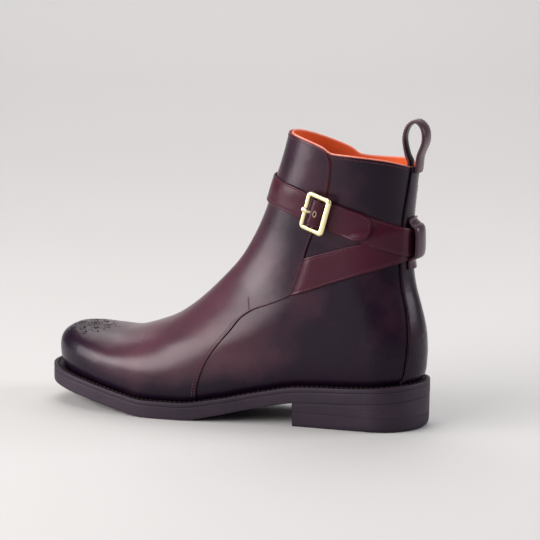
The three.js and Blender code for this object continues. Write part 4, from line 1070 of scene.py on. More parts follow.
def upper_piece():
    """The upper's leather as one closed shell. Its columns follow the vamp's rear edge, where the
    outside steps out by the thickness of the vamp, with the cut edge between two columns."""
    rows = upper_rows(110)
    rows = np.concatenate([rows[:-6], np.linspace(rows[-6], 1, 15)])
    turn_edge, speed, depth = edge_turns(rows)
    near = np.array([0.25, 0.32, 0.45, 0.7, 1.2, 2.2])
    behind = turn_edge[:, None] * np.concatenate([np.linspace(0, 0.93, 44), [0.965, 0.985]])
    before = turn_edge[:, None] - np.array([1.2, 0.5, 0.12, 0]) / speed[:, None]
    behind = np.concatenate([behind[:, behind[0] < before[0, 0]], before], axis=1)
    ahead = turn_edge[:, None] + near / speed[:, None]
    rest = lerp(ahead[:, -1:], math.pi, np.linspace(0, 1, 84)[1:])
    half = np.concatenate([behind, ahead, rest], axis=1)
    step = np.concatenate([
        -VAMP_STEP * np.ones(behind.shape[1]), [-0.24, -0.06, 0], np.zeros(len(near) - 3 + rest.shape[1]),
    ])
    pinch = np.zeros(half.shape[1])
    pinch[behind.shape[1] - 4:behind.shape[1]] = [0, -0.05, -0.12, -0.15]
    turn = np.concatenate([half, 2 * math.pi - half[:, -2:0:-1]], axis=1)
    offset = np.concatenate([step + pinch, (step + pinch)[-2:0:-1]])
    points = upper_grid(turn, rows)
    normals, up = grid_normals(turn, rows)
    outer = seated(points + normals * offset[None, :, None])
    inner = seated(points + normals * -LEATHER_THICKNESS)
    rim = [
        outer[-1:] - normals[-1:] * 0.1 + up[-1:] * 0.2,
        outer[-1:] - normals[-1:] * 0.35 + up[-1:] * 0.32,
        inner[-1:] + normals[-1:] * 0.25 + up[-1:] * 0.32,
    ]
    shell = np.concatenate([outer, *rim, inner[::-1]])
    count = shell.shape[1]
    faces = grid_faces(len(shell), count, close_rows=True, close_columns=True)
    row = faces[:, 0] // count
    place_in_row = faces[:, 0] % count
    step_column = behind.shape[1] - 1
    is_edge = (place_in_row == step_column) | (place_in_row == count - step_column - 1)
    high = shell[row, place_in_row, 2] > 0.7 * COLLAR_FRONT
    # Below 0.7 of the collar's height the vamp's cut edge is painted black: painted shade along the seam and under the
    # flap's edge
    index = np.where(is_edge & (row < len(outer) - 1), np.where(high, 1, 2), 0)
    index = np.where((row >= len(outer)) & (row < len(outer) + 2), 1, index)
    burnish = burnish_and_shade_of(shell)
    made = mesh_object("upper_leather", shell.reshape(-1, 3), faces,
                       [upper_leather(), cut_edge(), painted_shade_leather()], burnish, index)
    finish_piece(outward(sharp_edges(made, 50)), ("upper",))
    return rows, turn_edge, speed, depth


def lining_piece():
    """The lining as one closed shell inside the leather. Its top edge stands a little over the
    collar's rim."""
    rows = upper_rows(90)
    turn = np.linspace(0, 2 * math.pi, 201)[:-1] + 0 * rows[:, None]
    points = upper_grid(turn, rows)
    normals, up = grid_normals(turn, rows)
    outer = seated(points - normals * LINING_START)
    inner = seated(points - normals * WALL)
    lift = up[-1:] * np.array([0.9, 1.15])[:, None, None]
    rim = [outer[-1:] + lift[:1], outer[-1:] - normals[-1:] * 0.2 + lift[1:],
           inner[-1:] + normals[-1:] * 0.2 + lift[1:], inner[-1:] + lift[:1]]
    shell = np.concatenate([outer, *rim, inner[::-1]])
    faces = grid_faces(len(shell), shell.shape[1], close_rows=True, close_columns=True)
    row = faces[:, 0] // shell.shape[1]
    # the rim's faces take the pale edge, partly a painted highlight
    at_rim = (row >= len(outer) - 1) & (row < len(outer) + len(rim))
    made = mesh_object("lining", shell.reshape(-1, 3), faces, [lining_leather(), lining_edge_with_highlight()],
                       index=np.where(at_rim, 1, 0))
    return finish_piece(outward(made), ())


def edge_stitches(rows, turn_edge, speed, depth):
    """Stitch lines of the upper: a row along each edge of the vamp, a second one beside the closed
    seam below the flap, one along the collar's rim, and the bar tack at the seam's top."""
    inset = sewing().edge_inset * 1000
    lines = []
    for side in (1, -1):
        for away, top in ((inset, 1.0), (inset + 1.9, 0.36)):
            turn = side * (turn_edge + away / speed)[:, None]
            points = upper_grid(turn, rows)
            normals, _ = grid_normals(turn, rows)
            keep = points[:, 0, 2] < top * COLLAR_FRONT
            keep &= points[:, 0, 2] > welt_top(points[:, 0, 0]) + 2.5
            keep &= depth > inset + 0.5
            lines.append((points[keep, 0], normals[keep, 0]))
    # The rim: the stitches follow it at a fixed length below it
    top = rows[-16:]
    for low, high, depth in ((0.14, float(turn_edge[-1]) - 0.06, -VAMP_STEP),
                             (float(turn_edge[-1]) + 0.07, 2 * math.pi - float(turn_edge[-1]) - 0.07, 0),
                             (2 * math.pi - float(turn_edge[-1]) + 0.06, 2 * math.pi - 0.14, -VAMP_STEP)):
        turn = np.linspace(low, high, 90)
        rim = upper_grid(turn + 0 * top[:, None], top)
        below = np.linalg.norm(rim - rim[-1:], axis=-1)
        share = np.array([np.interp(inset, below[::-1, k], top[::-1]) for k in range(len(turn))])
        points = np.concatenate([upper_grid(turn[k:k + 1, None], share[k:k + 1]) for k in range(len(turn))])[:, 0]
        normals = np.concatenate([grid_normals(turn[k:k + 1, None], share[k:k + 1])[0] for k in range(len(turn))])[:, 0]
        lines.append((points + normals * depth, normals))
    t = np.linspace(0, 1, 30)
    x0 = float(np.interp(-0.387 * COLLAR_FRONT, -vamp_line[:, 1], vamp_line[:, 0]))
    z = 0.387 * COLLAR_FRONT + lerp(1.0, 9.5, t)
    x = x0 + lerp(0.6, 2.8, t)
    tacks = []
    for side in (1, -1):
        points = upper_point(x, z, np.full(30, side > 0), back_reach(z))
        up = upper_point(x, z + 1, np.full(30, side > 0), back_reach(z + 1)) - points
        ahead = upper_point(x + 1, z, np.full(30, side > 0), back_reach(z)) - points
        tacks.append((points, unit(np.cross(up, ahead)) * side))
    stitches("bar_tacks", tacks, thread("tack_thread", 1.3), 0.85, 1.6, 0.3)
    return stitches("upper_stitches", lines, thread())


def rounded_section(width, thickness, corner, count=4):
    """A rounded rectangle as (across, rise) points: quarter circles at its corners."""
    x, y = width / 2 - corner, thickness / 2 - corner
    parts = []
    for k, (cx, cy) in enumerate(((x, y), (-x, y), (-x, -y), (x, -y))):
        angle = np.linspace(0, math.pi / 2, count + 1) + k * math.pi / 2
        parts.append(np.stack([cx + corner * np.cos(angle), cy + corner * np.sin(angle)], axis=1))
        if k in (0, 2):
            flat = np.linspace(1, -1, 8)[1:-1] * (1 if k == 0 else -1)
            parts.append(np.stack([flat * x, np.full(6, cy + corner * (1 if k == 0 else -1))], axis=1))
    return np.concatenate(parts)


def loop_faces(loops, count):
    """Faces of closed loops one after the other, with a cap over the first and the last one."""
    faces = grid_faces(loops, count, close_columns=True).tolist()
    end = (loops - 1) * count
    return faces + [list(range(count - 1, -1, -1)), list(range(end, end + count))]


def band_piece(name, line, width, thickness, material, nodes, inner=None):
    """A strip whose side view follows a line of (out, up), bent round the back. Each section is a
    rounded rectangle, moved along the line's normal in the side view."""
    path = spline_line(line, 120)
    ahead = unit(np.gradient(path, axis=0))
    side = np.stack([-ahead[:, 1], ahead[:, 0]], axis=1)
    section = rounded_section(width, thickness, 0.38 * thickness)
    out = path[:, :1] + side[:, :1] * section[:, 1]
    up = path[:, 1:] + side[:, 1:] * section[:, 1]
    points, _ = back_point(section[:, 0] + 0 * up, up, out)
    faces = loop_faces(len(path), len(section))
    index = None
    materials = [material]
    if inner:
        materials.append(inner)
        face_rise = np.tile(section[:, 1], len(path) - 1)
        index = np.concatenate([np.where(face_rise * inner_side(line) > 0.45 * thickness, 1, 0), [0, 0]])
    made = mesh_object(name, points.reshape(-1, 3), faces, materials,
                       np.full(points.shape[:2], 0.25), index)
    return finish_piece(outward(made), nodes), path, side


def inner_side(line):
    """1 if a line of (out, up) turns so that its left side is inside the bend, otherwise -1."""
    p = np.array(line)
    area = np.sum(p[:-1, 0] * p[1:, 1] - p[1:, 0] * p[:-1, 1]) + p[-1, 0] * p[0, 1] - p[0, 0] * p[-1, 1]
    return 1 if area > 0 else -1


def band_stitches(name, path, side, lift, edge, material, low=None, high=None):
    """Stitch rows at both edges of a strip on the back line, on one face of it."""
    lines = []
    keep = np.ones(len(path), bool)
    if low is not None:
        keep = (path[:, 1] > low) & (path[:, 1] < high)
    for arc in (-edge, edge):
        points, normals = back_point(arc + 0 * path[:, 1], path[:, 1] + side[:, 1] * lift,
                                     path[:, 0] + side[:, 0] * lift)
        far, _ = back_point(arc + 0 * path[:, 1], path[:, 1] + side[:, 1] * (lift + 1),
                            path[:, 0] + side[:, 0] * (lift + 1))
        lines.append((points[keep], unit(far - points)[keep] * np.sign(lift)))
    return stitches(name, lines, material)


def backstay_half(z):
    spread = backstay_spread((z - HEEL_SEAT) / (COLLAR_BACK - HEEL_SEAT))
    return lerp(BACKSTAY_TOP_WIDTH, BACKSTAY_FOOT_WIDTH, spread) / 2


def backstay_piece():
    """The strip down the back: half its width goes from the foot's to the top's by the table, and
    its section is a band with rounded edges, laid along the back by arc and normal."""
    z = lerp(welt_top(0) + SEAT_GAP - 0.3, COLLAR_BACK - 0.4, np.linspace(0, 1, 90) ** 1.4)
    across = np.array([1, 0.985, 0.95, 0.9, 0.84, 0.6, 0.3, 0, -0.3, -0.6, -0.84, -0.9, -0.95, -0.985, -1])
    top = BACKSTAY_OUT + np.array([-0.35, -0.1, 0, -0.02, 0, 0, 0, 0, 0, 0, 0, -0.02, 0, -0.1, -0.35])
    under = np.full(15, BACKSTAY_OUT - BACKSTAY_THICKNESS - 0.35)
    share = np.concatenate([across, across[::-1]])
    out = np.concatenate([top, under])
    arc = backstay_half(z)[:, None] * share
    points, _ = back_point(arc, z[:, None] + 0 * arc, out + 0 * arc)
    points = seated(points)
    faces = loop_faces(len(z), 30)
    made = mesh_object("backstay_leather", points.reshape(-1, 3), faces, [upper_leather()],
                       burnish_and_shade_of(points))
    finish_piece(outward(made), ("backstay",))
    lines = []
    for side in (-1, 1):
        row = z[3:-6]
        lines.append(back_point(side * (backstay_half(row) - 1.6), row, BACKSTAY_OUT + 0 * row))
    return stitches("backstay_stitches", lines, thread("backstay_thread", 0.45))


def pull_loop_piece():
    outer = BACKSTAY_OUT + 0.1 + LOOP_THICKNESS / 2
    inner = -WALL - 2 * GAP - LOOP_THICKNESS / 2
    middle = (outer + inner) / 2 - LOOP_LEAN
    half = (LOOP_BREADTH - LOOP_THICKNESS) / 2

    def up(share):
        return COLLAR_BACK + share * LOOP_HEIGHT
    line = [
        (outer, up(-0.14)), (outer, up(0.02)), (middle + 0.66 * half, up(0.24)),
        (middle + half, up(0.57)), (middle + 0.76 * half, up(0.84)), (middle, up(0.97)),
        (middle - 0.76 * half, up(0.84)), (middle - half, up(0.57)), (middle - 0.62 * half, up(0.24)),
        (inner - GAP, up(0.06)), (inner, up(-0.08)), (inner, up(-0.25)), (inner, up(-0.45)),
    ]
    _, path, side = band_piece("pull_loop_strap", line, LOOP_WIDTH, LOOP_THICKNESS, upper_leather(),
                               ("pull_loop",), strap_leather())
    face = -inner_side(line) * LOOP_THICKNESS / 2
    return band_stitches("pull_loop_stitches", path, side, face, LOOP_WIDTH / 2 - 1.5,
                         thread(), COLLAR_BACK - 4, 400)


STRAPS_LEVEL = BUCKLE_STRAP_PATH[5][1] * COLLAR_FRONT
STRAPS_OUT = BACKSTAY_OUT + 3 * STRAP_GAP + 2 * STRAP_THICKNESS


def keeper_piece():
    seat = BACKSTAY_OUT + 0.05 + KEEPER_THICKNESS / 2
    crown = STRAPS_OUT + KEEPER_THICKNESS / 2 + 3 * GAP
    reach = STRAP_WIDTH / 2

    def up(share):
        return STRAPS_LEVEL + share * reach
    line = [
        (seat, up(1.86)), (seat, up(1.62)), (lerp(seat, crown, 0.42), up(1.36)), (crown - GAP, up(1.06)),
        (crown + 2 * GAP, up(0)), (crown, up(-0.84)), (lerp(seat, crown, 0.5), up(-1.05)),
        (seat, up(-1.25)), (seat, up(-1.86)),
    ]
    return band_piece("keeper_strap", line, KEEPER_WIDTH, KEEPER_THICKNESS, upper_leather(),
                      ("strap_keeper",))[0]


# Straps
def strap_stations(path, pitch):
    """Even stations along a strap's middle line: turn, height, point, length and direction."""
    rows = [(math.radians(turn), up * COLLAR_FRONT, 0.0) for turn, up in path]
    fine = even_spline(rows, 900)
    points = shaft_point(fine[:, 0], fine[:, 1])
    lengths = walk(points)
    at = np.linspace(0, lengths[-1], int(lengths[-1] / pitch) + 1)
    turn_z = resample(lengths, fine[:, :2], at)
    centre = shaft_point(turn_z[:, 0], turn_z[:, 1])
    return {
        "turn": turn_z[:, 0], "z": turn_z[:, 1], "point": centre, "walked": at,
        "ahead": unit(np.gradient(centre, axis=0)), "length": lengths[-1],
    }


def beside(stations, offset):
    """Points beside a strap's middle line on the leather: the offset across is solved for its
    turn and height from the surface's own steps round and up."""
    turn, z = stations["turn"][:, None] + 0 * offset, stations["z"][:, None] + 0 * offset
    _, around, up, normal = shaft_frame(turn[:, :1], z[:, :1])
    across = unit(np.cross(normal, stations["ahead"][:, None]))
    rr, ru, uu = [np.sum(a * b, axis=-1) for a, b in ((around, around), (around, up), (up, up))]
    ra, ua = [np.sum(a * across, axis=-1) for a in (around, up)]
    size = rr * uu - ru * ru
    turn = turn + offset * (ra * uu - ua * ru) / size
    z = z + offset * (ua * rr - ra * ru) / size
    point, _, _, normal = shaft_frame(turn, z)
    return turn, point, normal


def ground_level(turn, point, on_quarter):
    """How far the leather under a strap stands out: quarter, vamp or backstay, mixed softly."""
    ahead = point[..., 0] - vamp_edge_x(point[..., 2])
    vamp = np.where(on_quarter, 0, smoothstep(-9, -1.5, ahead))
    half = backstay_half(point[..., 2])
    beside_stay = 1 - smoothstep(half, half + 8, np.abs(point[..., 1]))
    back = np.where(np.cos(turn) > 0, beside_stay, 0)
    return lerp(-VAMP_STEP, 0, vamp) + back * (BACKSTAY_OUT + VAMP_STEP), ahead


billet_stations = strap_stations(BILLET_PATH, STATION_PITCH)
buckle_stations = strap_stations(BUCKLE_STRAP_PATH, STATION_PITCH)


def buckle_frame_axes():
    """The buckle's place, where its strap's path ends: x back along the strap, y up across it and
    z outwards, as the columns of a matrix, with its origin."""
    turn, z = buckle_stations["turn"][-1:], buckle_stations["z"][-1:]
    point, _, _, normal = shaft_frame(turn, z)
    back = -buckle_stations["ahead"][-1:]
    up = unit(np.cross(normal, back))
    along = unit(np.cross(up, normal))
    return np.stack([along[0], up[0], normal[0]], axis=1), point[0]


BUCKLE_AXES, BUCKLE_ORIGIN = buckle_frame_axes()
BAR_CENTRE = STRAP_GAP + FOLD_THICKNESS + GAP + CENTRE_BAR / 2
FOLD_OVER = BAR_CENTRE + CENTRE_BAR / 2 + GAP
BILLET_CREST = FOLD_OVER + FOLD_THICKNESS + STRAP_GAP
billet_run = billet_stations["point"][billet_stations["turn"] > -0.6 * math.pi]


def at_buckle(points):
    """Points of the buckle's own axes, in the tables' millimetres."""
    return points @ BUCKLE_AXES.T + BUCKLE_ORIGIN


def billet_near(point):
    """1 over the billet's first run, 0 clear of it, from the distance to its middle line."""
    away = np.linalg.norm(point[..., None, :] - billet_run[::3], axis=-1).min(axis=-1)
    return 1 - smoothstep(STRAP_TAIL_WIDTH / 2 + 2, STRAP_TAIL_WIDTH / 2 + 10, away)


def tail_width(walked):
    return lerp(STRAP_TAIL_WIDTH, STRAP_WIDTH, smoothstep(0, 5 * STRAP_TAIL_WIDTH, walked))


def strap_section():
    """(across, rise) of a strap's section: across from -1 to 1 and rise from 0 to 1, with round
    edges and a shallow channel where the stitches lie."""
    half = np.array([0.0, 0.3, 0.55, 0.74, 0.8, 0.845, 0.89, 0.95, 0.985, 1.0])
    rise = np.array([1.0, 1.0, 1.0, 1.0, 0.95, 0.9, 0.97, 0.97, 0.85, 0.55])
    across = np.concatenate([-half[:0:-1], half])
    top = np.concatenate([rise[:0:-1], rise])
    under = np.array([0.96, 0.6, 0.2, -0.2, -0.6, -0.96])
    return np.concatenate([across, under]), np.concatenate([top, np.zeros(6)])


def strap_shape(stations, width, level, thickness):
    """Vertices of a strap: each section point goes across along the leather and out along its
    normal by the level and its rise."""
    across, rise = strap_section()
    offset = across[None] * width[:, None] / 2
    turn, point, normal = beside(stations, offset)
    under, thick = level(turn, point), thickness(turn, point)
    out = under + rise[None] * thick
    return point + normal * out[..., None], point, normal, under + thick


def strap_lines(stations, width, level, thickness, edge=STITCH_SHARE, low=0.0, high=None):
    """Stitch lines along both edges of a strap, on its face."""
    lines = []
    high = stations["length"] if high is None else high
    keep = (stations["walked"] >= low) & (stations["walked"] <= high)
    for side in (-1, 1):
        offset = side * edge * width[:, None] / 2
        turn, point, normal = beside(stations, offset)
        out = level(turn, point) + thickness(turn, point) * STITCH_RISE
        free = (point[..., 0] < vamp_edge_x(point[..., 2]) - 1.2)[:, 0] | (stations["walked"] > 3 * STRAP_TAIL_WIDTH)
        lines.append(((point + normal * out[..., None])[keep & free, 0], normal[keep & free, 0]))
    return lines


def tucked(stations, turn, point, level, thick):
    """Level and thickness of a strap's tail, skived and tucked under the vamp's free edge."""
    ahead = point[..., 0] - vamp_edge_x(point[..., 2])
    tail = (stations["walked"] < 3.2 * STRAP_TAIL_WIDTH)[:, None]
    share = np.where(tail, smoothstep(-6.5, -0.4, ahead), 0)
    return lerp(level, -VAMP_STEP + 0.02, share), lerp(thick, 0.82, share)


def buckle_strap_shape():
    stations = buckle_stations
    to_bar = (stations["length"] - stations["walked"])[:, None]

    def flat(turn, point):
        ground, _ = ground_level(turn, point, (stations["walked"] < 48)[:, None])
        over = billet_near(point) * (STRAP_THICKNESS + 0.1)
        rise = 1 - smoothstep(CENTRE_BAR, BAR_REACH, to_bar)
        full = lerp(FOLD_THICKNESS, STRAP_THICKNESS, smoothstep(0, 3 * BAR_REACH, to_bar))
        return tucked(stations, turn, point, lerp(ground + STRAP_REST + over, FOLD_OVER, rise), full + 0 * point[..., 0])
    return stations, tail_width(stations["walked"]), lambda t, p: flat(t, p)[0], lambda t, p: flat(t, p)[1]


def billet_shape():
    stations = billet_stations
    end = stations["length"]
    past = (stations["turn"] < -math.pi)
    local = (stations["point"] - BUCKLE_ORIGIN) @ BUCKLE_AXES
    along = np.where(past, local[:, 0], -1000)[:, None]
    crest = smoothstep(-0.78 * BAR_REACH, -0.28 * BAR_REACH, along) \
        * (1 - smoothstep(0.25 * BAR_REACH, 0.95 * BAR_REACH, along))
    over = smoothstep(-0.3 * BAR_REACH, 0.2 * BAR_REACH, along)

    def flat(turn, point):
        ground, _ = ground_level(turn, point, (stations["walked"] < 48)[:, None])
        layers = np.where(over > 0, over + billet_near(point), 0)
        level = lerp(ground + STRAP_REST + layers * (STRAP_THICKNESS + 0.12), BILLET_CREST - 0.25, crest)
        return tucked(stations, turn, point, level, STRAP_THICKNESS + 0 * point[..., 0])
    short = np.minimum(1, (end - stations["walked"]) / (STRAP_WIDTH / 2))
    width = tail_width(stations["walked"]) * np.maximum(0.02, np.sqrt(np.maximum(1 - (1 - short) ** 2, 0)))
    return stations, width, lambda t, p: flat(t, p)[0], lambda t, p: flat(t, p)[1]


def finer_end(stations, width_end):
    """Adds stations towards a strap's round end, closer and closer together."""
    end = stations["length"]
    extra = end - width_end * (1 - np.sin(np.linspace(0.3, math.pi / 2, 16)))
    keep = stations["walked"] < extra[0] - 0.5
    at = np.concatenate([stations["walked"][keep], extra])
    fresh = {key: np.stack([np.interp(at, stations["walked"], v) for v in value.T], axis=1)
             if value.ndim == 2 else np.interp(at, stations["walked"], value)
             for key, value in stations.items() if key not in ("length", "walked")}
    fresh["walked"] = at
    fresh["length"] = end
    return fresh


def strap_pieces():
    """Both straps with their stitches, and the fold round the buckle's centre bar."""
    global billet_stations
    billet_stations = finer_end(billet_stations, STRAP_WIDTH / 2)
    rows = []
    for name, shape, node, high in (
        ("billet_leather", billet_shape(), "billet_strap", billet_stations["length"] - 4.5),
        ("buckle_strap_leather", buckle_strap_shape(), "buckle_strap", None),
    ):
        points, _, _, _ = strap_shape(*shape)
        count = points.shape[1]
        # the straps' side faces take the dark edge: dye and painted shade
        side = np.isin(np.tile(np.arange(count), len(points) - 1), (0, 17, 18, count - 1))
        made = mesh_object(name, points.reshape(-1, 3), loop_faces(len(points), count),
                           [strap_leather(), shaded_strap_edge()], index=np.append(np.where(side, 1, 0), [0, 0]))
        finish_piece(outward(made), (node,))
        rows += strap_lines(*shape, low=6.0, high=high)
    rows.append(tip_line())
    stitches("strap_stitches", rows, thread("strap_thread", 0.8), 2.4, 0.5)
    inner = CENTRE_BAR / 2 + GAP + FOLD_THICKNESS / 2
    angle = np.linspace(math.pi / 2, 1.5 * math.pi, 24)
    bend = np.stack([inner * np.cos(angle), BAR_CENTRE + inner * np.sin(angle)], axis=1)
    path = np.concatenate([[[2.0, BAR_CENTRE + inner]], bend, [[0.5 * BAR_REACH, BAR_CENTRE - inner]]])
    fold = buckle_band(path, rounded_section(STRAP_WIDTH - 0.3, FOLD_THICKNESS, 0.4))
    made = mesh_object("strap_fold", fold.reshape(-1, 3), loop_faces(*fold.shape[:2]), [strap_leather()])
    finish_piece(outward(made), ())


def prong_hole():
    """The hole beside the prong: a pale raised rim round an oval, and its inside painted black as
    shade. The rim's section is a circle carried round the ellipse."""
    angle = np.arange(36) * math.pi / 18
    level = BILLET_CREST - 0.25 + STRAP_THICKNESS
    path = np.stack([1.15 * np.cos(angle) + 0.6, 2.1 * np.sin(angle), 0 * angle + level], axis=1)
    out = unit(np.stack([np.cos(angle) / 1.15, np.sin(angle) / 2.1, 0 * angle], axis=1))
    round_ = np.arange(10) * math.pi / 5
    ring = path[:, None] + out[:, None] * np.cos(round_)[:, None] * 0.34 \
        + np.array([0, 0, 1.0]) * np.sin(round_)[:, None] * 0.2
    # the disc at the bottom is painted black: painted shade inside the hole
    disc = np.stack([1.15 * np.cos(angle) + 0.6, 2.1 * np.sin(angle), 0 * angle + level + 0.04], axis=1)
    points = at_buckle(np.concatenate([ring.reshape(-1, 3), disc]))
    faces = grid_faces(36, 10, close_rows=True, close_columns=True).tolist() + [list(range(360, 396))]
    pale = named_material("eyelet_edge", leather_material, (0.5, 0.33, 0.24), (0.3, 0.16, 0.12), 0.45, 0.0)
    made = mesh_object("prong_hole", points, faces, [pale, painted_shade_leather()],
                       index=np.append(np.zeros(360, int), 1), weld=False)
    return finish_piece(outward(made), ())


def tip_line():
    """The stitch line round the billet's end: half an ellipse inside its outline, laid on it."""
    stations, width, level, thickness = billet_shape()
    angle = np.linspace(-math.pi / 2, math.pi / 2, 40)
    reach = STRAP_WIDTH / 2
    at = stations["length"] - reach + 0.82 * reach * np.cos(angle)
    row = {key: np.stack([np.interp(at, stations["walked"], v) for v in value.T], axis=1)
           if value.ndim == 2 else np.interp(at, stations["walked"], value)
           for key, value in stations.items() if key not in ("length", "walked")}
    row["ahead"] = unit(row["ahead"])
    offset = (STITCH_SHARE * reach * np.sin(angle))[:, None]
    _, point, normal = beside(row, offset)
    ground = -VAMP_STEP + STRAP_REST + (1 + billet_near(point)) * (STRAP_THICKNESS + 0.12)
    return (point + normal * (ground + STITCH_RISE * STRAP_THICKNESS)[..., None])[:, 0], normal[:, 0]


def buckle_band(path, section):
    """A band along a side view in the buckle's axes: its section's across is the buckle's y, and
    its rise the side view's normal."""
    ahead = unit(np.gradient(path, axis=0))
    side = np.stack([-ahead[:, 1], ahead[:, 0]], axis=1)
    x = path[:, :1] + side[:, :1] * section[:, 1]
    z = path[:, 1:] + side[:, 1:] * section[:, 1]
    y = section[None, :, 0] + 0 * x
    return at_buckle(np.stack([x, y, z], axis=-1))


def tilted(points):
    """The buckle frame's tilt, its rear bar out, about its middle, and its height."""
    tilt = math.atan2(REAR_BAR_OUT - FRONT_BAR_OUT, 2 * BAR_REACH)
    x = points[..., 0] * math.cos(tilt) - points[..., 2] * math.sin(tilt)
    z = points[..., 0] * math.sin(tilt) + points[..., 2] * math.cos(tilt)
    return np.stack([x, points[..., 1], z + (FRONT_BAR_OUT + REAR_BAR_OUT) / 2], axis=-1)


def swept(path, ups, section):
    """A section of (across, rise), or one for each step, carried along a path. Across is the cross
    product of the path's direction and the up vector."""
    ahead = unit(np.gradient(path, axis=0))
    across = unit(np.cross(ahead, ups))
    rise = unit(np.cross(across, ahead))
    section = np.broadcast_to(section, (len(path),) + section.shape[-2:])
    return path[:, None] + across[:, None] * section[..., :1] + rise[:, None] * section[..., 1:]


def buckle_pieces():
    """The buckle: a frame whose section is a superellipse round a rectangle with round corners,
    its centre bar, and a prong with its eye round that bar."""
    set_ = bpy.context.scene.boot_brass
    brass = named_material("polished_brass", metal_material, set_.brass_colour, set_.rubbed_colour)
    w, h, r = BAR_REACH, (BUCKLE_HEIGHT - BUCKLE_BAR) / 2, 2.0
    corners = []
    for k, (cx, cy) in enumerate(((w - r, h - r), (-w + r, h - r), (-w + r, -h + r), (w - r, -h + r))):
        angle = np.linspace(0, math.pi / 2, 9) + k * math.pi / 2
        corners.append(np.stack([cx + r * np.cos(angle), cy + r * np.sin(angle), 0 * angle], axis=1))
    line = np.concatenate(corners)
    line = np.concatenate([line, line[:1]])
    lengths = walk(line)
    path = resample(lengths, line, np.linspace(0, lengths[-1], 161)[:-1])
    angle = np.linspace(0, 2 * math.pi, 21)[:-1]
    oval = np.stack([np.sign(np.cos(angle)) * np.abs(np.cos(angle)) ** 0.8,
                     np.sign(np.sin(angle)) * np.abs(np.sin(angle)) ** 0.8], axis=1)
    ahead = unit(np.roll(path, -1, axis=0) - np.roll(path, 1, axis=0))
    across = np.cross(ahead, [0, 0, 1.0])
    wide = BUCKLE_BAR / 2 * (1.02 + 0.28 * smoothstep(0.5, 0.9, path[:, 0] / w))
    path = path + np.array([0.7, 0, 0]) * smoothstep(0.2, 0.95, path[:, :1] / w)
    ring = path[:, None] + across[:, None] * oval[:, :1] * wide[:, None, None]
    ring = ring + np.array([0, 0, BUCKLE_THICKNESS / 2]) * oval[:, 1:]
    faces = grid_faces(160, 20, close_rows=True, close_columns=True)
    made = mesh_object("buckle_frame_brass", at_buckle(tilted(ring)).reshape(-1, 3), faces, [brass])
    finish_piece(outward(made), ("buckle_frame",))
    reach = BUCKLE_HEIGHT / 2 - BUCKLE_BAR / 2
    middle = (FRONT_BAR_OUT + REAR_BAR_OUT) / 2 - 0.4
    path = spline_line([(0, -reach, middle), (0, -reach + 0.5, BAR_CENTRE + 0.6), (0, -reach + 2, BAR_CENTRE),
                        (0, 0, BAR_CENTRE), (0, reach - 2, BAR_CENTRE), (0, reach - 0.5, BAR_CENTRE + 0.6),
                        (0, reach, middle)], 60)
    circle = np.stack([np.cos(angle), np.sin(angle)], axis=1) * CENTRE_BAR / 2
    bar = at_buckle(swept(path, np.array([[1.0, 0, 0]]), circle))
    made = mesh_object("buckle_centre_bar", bar.reshape(-1, 3), loop_faces(*bar.shape[:2]), [brass])
    finish_piece(outward(made), ())
    rest = FRONT_BAR_OUT + BUCKLE_THICKNESS / 2 + 0.75
    path = spline_line([(-1.3, 0, 1.6), (0, 0, 1.15), (1.3, 0, 1.7), (1.75, 0, 2.9), (1.2, 0, 4.2), (0, 0, 4.65),
                        (-2.2, 0, 4.9), (-4.2, 0, 6.0), (-5.8, 0, rest + 0.05), (-7.2, 0, rest + 0.15),
                        (-8.6, 0, rest + 0.1), (-9.7, 0, rest - 0.25), (-10.1, 0, rest - 0.8)], 120)
    share = np.linspace(0, 1, len(path))
    end = np.sqrt(np.clip(1 - ((share - 0.93) / 0.0701).clip(0) ** 2, 0.02, 1))
    wide = (PRONG_WIDTH / 2 + 0.45 * smoothstep(0.66, 0.8, share)) * end
    thick = 0.72 * end
    section = np.stack([oval[None, :, 0] * wide[:, None], oval[None, :, 1] * thick[:, None]], axis=-1)
    prong = at_buckle(swept(path, np.array([[0, 1.0, 0]]), section[..., ::-1]))
    made = mesh_object("buckle_prong_brass", prong.reshape(-1, 3), loop_faces(*prong.shape[:2]), [brass])
    return finish_piece(outward(made), ("buckle_prong",))


# Sole
def plate(name, edge, top, bottom, turns, profile, cross, materials, side_index=None, capped=False):
    """A level layer of the sole as a closed piece. Each row is a section at a turn of the outline:
    down the outer side by the profile of (offset, share of the height), across the underside, up
    the inner side and back across the top."""
    sides = []
    for sign in (1, -1):
        columns = []
        for offset, share in profile:
            point = edge(sign * turns, offset)
            z = lerp(top(point[:, 0]), bottom(point[:, 0]), share)
            columns.append(np.concatenate([point, z[:, None]], axis=1))
        sides.append(np.stack(columns, axis=1))
    outer, inner = sides
    inside = np.linspace(0, 1, cross + 2)[1:-1][None, :, None]
    under = lerp(outer[:, -1:], inner[:, -1:], inside)
    over = lerp(inner[:, :1], outer[:, :1], inside)
    under[..., 2] = bottom(under[..., 0])
    over[..., 2] = top(over[..., 0])
    loops = np.concatenate([outer, under, inner[:, ::-1], over], axis=1)
    count = loops.shape[1]
    faces = grid_faces(len(turns), count, close_columns=True).tolist()
    index = None
    if side_index is not None:
        k = np.tile(np.arange(count), len(turns) - 1)
        depth = len(profile)
        side = (k < depth - 1) | ((k >= depth + cross) & (k < 2 * depth + cross - 1))
        index = np.where(side, side_index, 0).tolist()
    if capped:
        faces.append(list(range((len(turns) - 1) * count, len(turns) * count)))
        if index is not None:
            index.append(side_index)
    made = mesh_object(name, loops.reshape(-1, 3), faces, materials, index=index)
    return outward(sharp_edges(made, 40))


SOLE_TURNS = np.linspace(0, math.pi, 241)
BREAST_TURN = math.acos(1 - 2 * HEEL_LENGTH / SOLE_LENGTH)
HEEL_TURNS = np.linspace(0, BREAST_TURN, 121)


